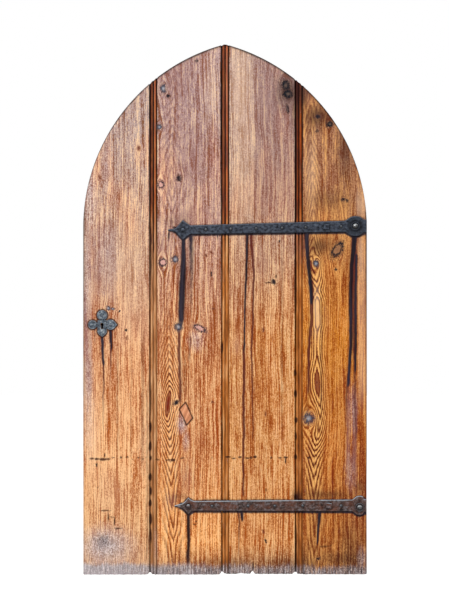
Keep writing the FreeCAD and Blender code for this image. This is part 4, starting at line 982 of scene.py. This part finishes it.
def averaged(values, ends, times):
    """Values spread over the mesh by taking the mean of each vertex's neighbours."""
    here, there = ends
    count = np.bincount(here, minlength=len(values)).astype(float)
    for _ in range(times):
        values = np.bincount(here, weights=values[there], minlength=len(values)) / np.maximum(count, 1.0)
    return values


def welded(mesh):
    """A copy to work on, with the points joined that the import split at sharp edges, so it is closed."""
    work = bmesh.new()
    work.from_mesh(mesh)
    bmesh.ops.remove_doubles(work, verts=work.verts, dist=0.02 * MM)
    return work


def forge(node, slot, look, face, dent, cell, wave, soil_and_shade=(), body="leaf"):
    """Stands for a CAD node: the same solid in faces of a given size, with dents and waves in millimetres."""
    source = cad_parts[node]
    piece = place_object(node + "_forged", source.data.copy())
    piece.matrix_world = source.matrix_world
    work = welded(piece.data)
    work.to_mesh(piece.data)
    work.free()
    change = piece.modifiers.new("even", "REMESH")
    change.mode = "VOXEL"
    change.voxel_size = face * MM
    mesh = settle(piece)
    count = len(mesh.vertices)
    place = read_vectors(mesh.vertices, "co", count)
    normal = read_vectors(mesh.vertices, "normal", count)
    ends = neighbours(mesh)
    ease = np.stack([averaged(place[:, k], ends, 1) for k in range(3)], axis=1)
    rim = averaged(((place - ease) * normal).sum(axis=1) / (face * MM), ends, 5)
    sink = np.zeros(count)
    for k in range(count):
        spot = Vector(place[k]) / (cell * MM)
        near = noise.voronoi(spot)[0]
        sink[k] = dent * max(0.0, 1.0 - 1.3 * near[0]) + wave * (0.5 + 0.5 * noise.noise(spot * 0.55))
    place = place - normal * (np.clip(sink, 0, None) * MM)[:, None]
    mesh.vertices.foreach_set("co", place.ravel())
    # Darker spots round given places: painted shadow rings with dirt round the band nails, iron stains round
    # the ledge nails
    darkening = np.zeros(count)
    for x, z, radius in soil_and_shade:
        far = np.hypot(place[:, 0] / MM - x, place[:, 2] / MM - z)
        darkening = np.maximum(darkening, np.exp(-(far / radius) ** 4))
    store(mesh, {"rim": np.clip(rim * 9.0, -1, 1), "up": averaged(normal[:, 2], ends, 1), "soil_and_shade": darkening})
    mesh.shade_smooth()
    mesh.materials.clear()
    mesh.materials.append(look)
    mesh.update()
    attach(piece, body)
    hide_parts(node)


def iron_look(name, deep, plain, worn, rust, rust_share=0.35, gloss=0.45, rough=0.62, top_highlight=None,
              spots=0.5):
    """Forged iron: hammered facets, scale, rust bloom, brighter wear on raised edges, a painted highlight on
    upward faces, and painted shade on downward faces and round nails.
    """
    look = Look(name + "_look")
    hammered = look.add("ShaderNodeTexVoronoi", {"feature": "SMOOTH_F1"}, Vector=look.place, Scale=95.0)
    hammered = hammered.outputs["Distance"]
    scale = look.clouds((85, 110, 110), 5.0, 0.62)
    bloom = look.clouds((26, 34, 34), 4.0, 0.7, (3.1, 0.0, 1.7))
    pits = look.clouds((420, 420, 420), 2.0, 0.5)
    rim, up = look.attribute("rim"), look.attribute("up")
    look.colour = look.ramp(scale, ((0.32, deep), (0.5, plain), (0.74, worn)))
    look.tint(rust, look.slope(bloom, 0.62 - 0.35 * rust_share, 0.85 - 0.3 * rust_share), rust_share)
    look.tint(deep, look.slope(pits, 0.44, 0.34), spots)
    look.tint(worn, look.times(rim, look.times(scale, 1.5, True), True), 0.7)
    # A painted highlight on faces that look upwards: the top edges of the bands and the tops of nails and
    # spikes
    if top_highlight:
        shine = look.times(look.slope(up, 0.22, 0.5), look.ramp(scale, ((0.34, 0.4), (0.5, 1.0))))
        look.tint(top_highlight, shine, 0.9)
    # Painted shade: faces that look downwards darker
    look.tint(deep, look.times(up, -1.8, True), 0.9)
    # Dark in the hollows, and painted shadow rings with dirt round the nails and bolts
    hollow = look.math("MAXIMUM", look.times(rim, -1.6, True), look.attribute("soil_and_shade"), clamp=True)
    look.tint(deep, hollow, 0.85)
    relief = look.total(0.0, (hammered, 0.6), (scale, 0.45), (pits, 0.1))
    return look.finish(look.total(rough - 0.12, (scale, 0.26)), relief, 0.001, 0.45, 0.3, gloss)


def sawn_look(name, lean, shades):
    """Old sawn timber for ledges and braces, with its grain along the piece and saw marks across it."""
    look = Look(name + "_look")
    look.turn(lean)
    drift = look.clouds((1.6, 9, 9), 4.0, 0.6)
    broad = look.clouds((3.2, 60, 60), 4.0, 0.65, distortion=0.5)
    thin = look.clouds((7, 230, 230), 3.0, 0.65)
    fibre = look.clouds((40, 420, 420), 2.0, 0.7)
    fleck = look.clouds((210, 260, 260), 2.0, 0.7)
    crack = look.slope(look.clouds((9, 300, 300), 2.0, 0.5, (3.0, 1.0, 0.0)), 0.32, 0.26)
    saw = look.add("ShaderNodeTexWave", {"wave_type": "BANDS", "bands_direction": "X"}, Vector=look.place,
                   Scale=58.0, Distortion=4.0, Detail=3.0, Detail_Scale=2.0).outputs["Fac"]
    rim = look.attribute("rim")
    level = look.stirred(0.5, (drift, 0.5), (broad, 0.9), (thin, 1.1), (fibre, 0.9), (fleck, 0.7),
                         (saw, 0.12))
    look.colour = look.ramp(level, tuple(zip((0.24, 0.5, 0.76), shades)))
    late = look.math("FRACT", look.times(broad, 13.0))
    look.tint(shades[0], look.ramp(late, ((0.5, 0.0), (0.85, 1.0), (1.0, 0.0))), 0.45)
    look.tint((140, 124, 110), look.ramp(drift, ((0.0, 0.7), (0.38, 0.5), (0.54, 0.0))))
    look.tint((58, 36, 24), crack, 0.75)
    look.tint((204, 170, 132), look.times(rim, look.times(fleck, 1.3, True), True), 0.6)
    # Darker in the hollows and round the nails
    darkening = look.math("MAXIMUM", look.times(rim, -1.6, True), look.attribute("soil_and_shade"))
    look.tint((34, 26, 26), look.times(darkening, look.total(0.35, (fibre, 0.9)), True), 0.8)
    relief = look.total(level, (saw, 0.25), (crack, -0.8))
    return look.finish(look.total(0.88, (level, -0.14)), relief, 0.0012, 0.6, gloss=0.18)


def patch_look():
    """The let-in piece: pinkish, its grain leaning with it, and painted shade darkening its raised edges."""
    look = Look("patch_look")
    look.turn(-24.6)
    fine = look.clouds((330, 330, 12), 4.0, 0.7)
    broad = look.clouds((90, 90, 5), 3.0, 0.6)
    level = look.total(0.0, (fine, 0.5), (broad, 0.5))
    look.colour = look.ramp(level, ((0.36, (142, 82, 54)), (0.5, (200, 132, 92)), (0.64, (232, 172, 132))))
    # Painted shade: the raised edges darker, as a dark outline
    look.tint((72, 44, 34), look.times(look.attribute("rim"), 1.3, True), 0.75)
    return look.finish(look.total(0.84, (level, -0.1)), level, 0.0008, 0.5, gloss=0.25)


def give(look, *nodes):
    """Puts a look on CAD nodes that keep their shape."""
    for node in nodes:
        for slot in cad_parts[node].material_slots:
            slot.material = look


def nail_spots(node):
    """Where the nails of a piece stand, as (x, z) of each separate head."""
    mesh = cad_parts[node].data
    place = read_vectors(mesh.vertices, "co", len(mesh.vertices)) / MM
    spots = []
    for x, _, z in place[place[:, 1] > 30.0]:
        if all(math.hypot(x - a, z - b) > 14.0 for a, b in spots):
            spots.append((x, z))
    return spots


def lean_of(node):
    """The slope in degrees of the longest sharp edge of a piece, seen from the front."""
    work = welded(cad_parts[node].data)
    edge = max((e for e in work.edges if e.calc_face_angle(0.0) > 0.3), key=lambda e: e.calc_length())
    run = edge.verts[1].co - edge.verts[0].co
    work.free()
    return math.degrees(math.atan(run.z / run.x)) if abs(run.x) > 1e-6 else 90.0


# Colours of hollows and painted shade, plain, worn and rusty iron, then share of rust, gloss, roughness,
# painted highlight on top edges, and spots
IRON_LOOKS = {
    "upper_iron": ((8, 9, 13), (54, 59, 70), (84, 92, 104), (64, 60, 60), 0.3, 0.16, 0.62,
                   (112, 122, 136), 0.2),
    "lower_iron": ((14, 10, 12), (78, 64, 60), (134, 128, 132), (116, 66, 44), 0.6, 0.16, 0.68,
                   (176, 190, 200), 0.6),
    "plate_iron": ((14, 20, 30), (76, 88, 100), (172, 178, 180), (118, 108, 100), 0.3),
    "nail_iron": ((3, 3, 5), (15, 16, 19), (84, 88, 94), (46, 32, 28), 0.15, 0.8, 0.32, (120, 126, 134), 0.1),
    "spike_iron": ((3, 3, 5), (30, 31, 35), (158, 160, 160), (60, 44, 36), 0.3, 0.7, 0.34,
                   (186, 190, 192), 0.1),
    "pintle_iron": ((28, 28, 32), (56, 56, 62), (104, 104, 108), (92, 60, 46), 0.4),
    "lock_iron": ((30, 28, 30), (56, 52, 52), (92, 88, 86), (104, 66, 48), 0.45),
    "bolt_steel": ((70, 68, 66), (118, 114, 108), (158, 154, 148), (112, 80, 60), 0.35, 0.6, 0.5),
}
IRON = {name: iron_look(name, *values) for name, values in IRON_LOOKS.items()}
give(IRON["lock_iron"], "lock_screws", "lock_case_screws", "lock_wards", "lock_guide_stud")
give(IRON["bolt_steel"], "lock_bolt_spring")

forge("repair_patch", "patch_wood", patch_look(), 0.8, 0.1, 8.0, 0.25)
SAWN_SHADES = {
    "ledge": ((92, 60, 38), (150, 108, 72), (192, 150, 108)),
    "brace": ((88, 60, 42), (144, 106, 74), (184, 146, 110)),
}
for timber in ("ledge_bottom", "ledge_middle", "ledge_top", "ledge_head", "brace_lower", "brace_upper"):
    shades = SAWN_SHADES[timber[:5]]
    stains = [(x, z, 10.0) for x, z in nail_spots(timber + "_nails")]
    forge(timber, "back_wood", sawn_look(timber, lean_of(timber), shades), 4.0, 0.0, 60.0, 0.9, stains)
for nails in [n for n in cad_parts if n.startswith(("ledge_", "brace_")) and n.endswith("_nails")]:
    forge(nails, "nail_iron", IRON["nail_iron"], 1.1, 0.5, 5.0, 0.3)
for pintle in ("pintle_upper", "pintle_lower"):
    forge(pintle, "pintle_iron", IRON["pintle_iron"], 1.2, 0.4, 8.0, 0.4, body="pintles")
forge("lock_case", "lock_iron", IRON["lock_iron"], 1.5, 0.3, 14.0, 0.5)
forge("lock_plate", "lock_iron", IRON["lock_iron"], 1.0, 0.25, 8.0, 0.3)
forge("lock_bolt", "bolt_steel", IRON["bolt_steel"], 0.9, 0.15, 9.0, 0.2, body="bolt")

for band, rugged in (("upper", 1.0), ("lower", 1.5)):
    node, slot = "strap_" + band, band + "_iron"
    iron = IRON[slot]
    # Painted shadow rings with dirt round the nails, bolts and spike, and over the whole washer
    soil_and_shade = [(*on_band(band, along), radius) for along, radius in BANDS[band]["soil_and_shade"]]
    washer_shade_and_soil = [soil_and_shade[0][:2] + (18.0,)]
    forge(node, slot, iron, 1.2, 0.45 * rugged, 9.0, 0.45 * rugged, soil_and_shade)
    forge(node + "_washer", slot, iron, 0.6, 0.3 * rugged, 4.0, 0.2, washer_shade_and_soil)
    for part, metal, *sizes in (
        ("_spike", IRON["spike_iron"], 0.7, 0.5, 5.0, 0.2),
        ("_nails", IRON["nail_iron"], 0.7, 0.45, 3.6, 0.15),
        ("_bolts", iron, 0.8, 0.4, 4.5, 0.2),
        ("_roves", IRON["nail_iron"], 0.8, 0.3, 6.0, 0.2),
        ("_nuts", IRON["nail_iron"], 0.8, 0.3, 6.0, 0.2),
    ):
        forge(node + part, "nail_iron", metal, *sizes)

# Darker spots in the hollows between the keyhole plate's lobes, placed from the keyhole
PLATE_SEAMS = ((-12, 18), (-5, 19), (5, 19), (12, 18), (-19, 8), (-20, 0), (-19, -8), (16, 10), (17, 0),
               (16, -10), (-12, -15), (12, -15))
plate_dark_spots = [(KEYHOLE[0] + across, KEYHOLE[1] + up, 3.4) for across, up in PLATE_SEAMS]
forge("keyhole_plate", "plate_iron", IRON["plate_iron"], 0.6, 0.7, 4.6, 0.25, plate_dark_spots)
forge("keyhole_plate_nails", "nail_iron", IRON["plate_iron"], 0.4, 0.25, 2.4, 0.1)


def keyhole_drop():
    """A pear-shaped drop with a domed head, that hangs over the keyhole at the back of the lock."""
    x, z = KEYHOLE
    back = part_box("lock_case")[1][1] / MM + 0.15
    turns = np.arange(48) * math.pi / 24
    widths = 15.0 - 8.5 * (0.5 + 0.5 * np.sin(turns)) ** 1.5
    outline = list(zip(widths * np.cos(turns), 23.0 * np.sin(turns)))
    layers = [(y, 1 - inset / 15.0) for y, inset in ((0.0, 0.0), (1.3, 0.0), (2.0, 0.8), (2.1, 3.2))]
    drop = [[(x + a * size, back + y, z + 3.0 + b * size) for a, b in outline] for y, size in layers]
    rings = ((4.6, 2.1), (4.6, 2.9), (3.9, 3.9), (2.4, 4.6), (0.9, 4.9))
    head = [[(x + radius * math.cos(t), back + y, z + 20.0 + radius * math.sin(t))
             for t in np.arange(20) * math.pi / 10] for radius, y in rings]
    mesh = shells("keyhole_drop", drop, head)
    mesh.shade_smooth()
    mesh.set_sharp_from_angle(angle=math.radians(40))
    mesh.materials.append(IRON["lock_iron"])
    piece = place_object("keyhole_drop", mesh)
    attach(piece, "leaf")


keyhole_drop()

# Floor, light and camera


def pale_floor():
    look = Look("floor_look")
    tint = look.ramp(look.clouds((6, 6, 6)), ((0.3, (250, 250, 250)), (0.7, (254, 254, 254))))
    matt = look.add("ShaderNodeBsdfPrincipled", Base_Color=tint, Roughness=0.9, Specular_IOR_Level=0.0)
    glow = look.add("ShaderNodeEmission", Strength=0.82)
    bright = look.add("ShaderNodeAddShader")
    look.fill(bright, matt.outputs[0], glow.outputs[0])
    look.seen_apart(matt, bright, "ShaderNodeOutputMaterial")
    mesh = bpy.data.meshes.new("floor")
    corners = [(x, y, 0.0) for x, y in ((-14, -14), (14, -14), (14, 14), (-14, 14))]
    mesh.from_pydata(corners, [], [(0, 1, 2, 3)])
    mesh.materials.append(look.material)
    floor = place_object("floor", mesh)


def lamp(name, place, target, size, power):
    data = bpy.data.lights.new(name, "AREA")
    data.shape = "RECTANGLE"
    data.size, data.size_y = size
    data.energy = power
    light = place_object(name, data)
    light.location = place
    light.rotation_euler = (Vector(target) - Vector(place)).to_track_quat("-Z", "Y").to_euler()


def sky():
    world = bpy.data.worlds.new("studio")
    world.use_nodes = True
    nodes = Nodes(world.node_tree)
    seen = nodes.add("ShaderNodeBackground", Color=(1, 1, 1, 1), Strength=1.0)
    lit = nodes.add("ShaderNodeBackground", Color=(0.97, 0.98, 1.0, 1), Strength=0.36)
    nodes.seen_apart(lit, seen, "ShaderNodeOutputWorld")
    bpy.context.scene.world = world


def camera():
    data = bpy.data.cameras.new("camera")
    data.sensor_width = 36.0
    # The photograph's long side fills the frame from this far
    far = 7.0
    data.lens = data.sensor_width * far / (PHOTO_HIGH * PIXEL * MM)
    data.clip_end = 60.0
    eye = place_object("camera", data)
    eye.location = (place_x(PHOTO_WIDE / 2) * MM, FRONT * MM - far, place_z(PHOTO_HIGH / 2) * MM)
    eye.rotation_euler = (math.radians(90), 0, 0)
    bpy.context.scene.camera = eye


bpy.context.scene.view_settings.view_transform = "Standard"
pale_floor()
sky()
lamp("key", (-1.9, -3.2, 3.8), (0, 0, 1.0), (1.2, 1.2), 165)
lamp("front", (1.2, -5.5, 1.6), (0, 0, 1.0), (3.0, 2.4), 52)
lamp("behind", (1.5, 4.2, 3.0), (0, 0, 1.0), (2.2, 2.2), 110)
camera()
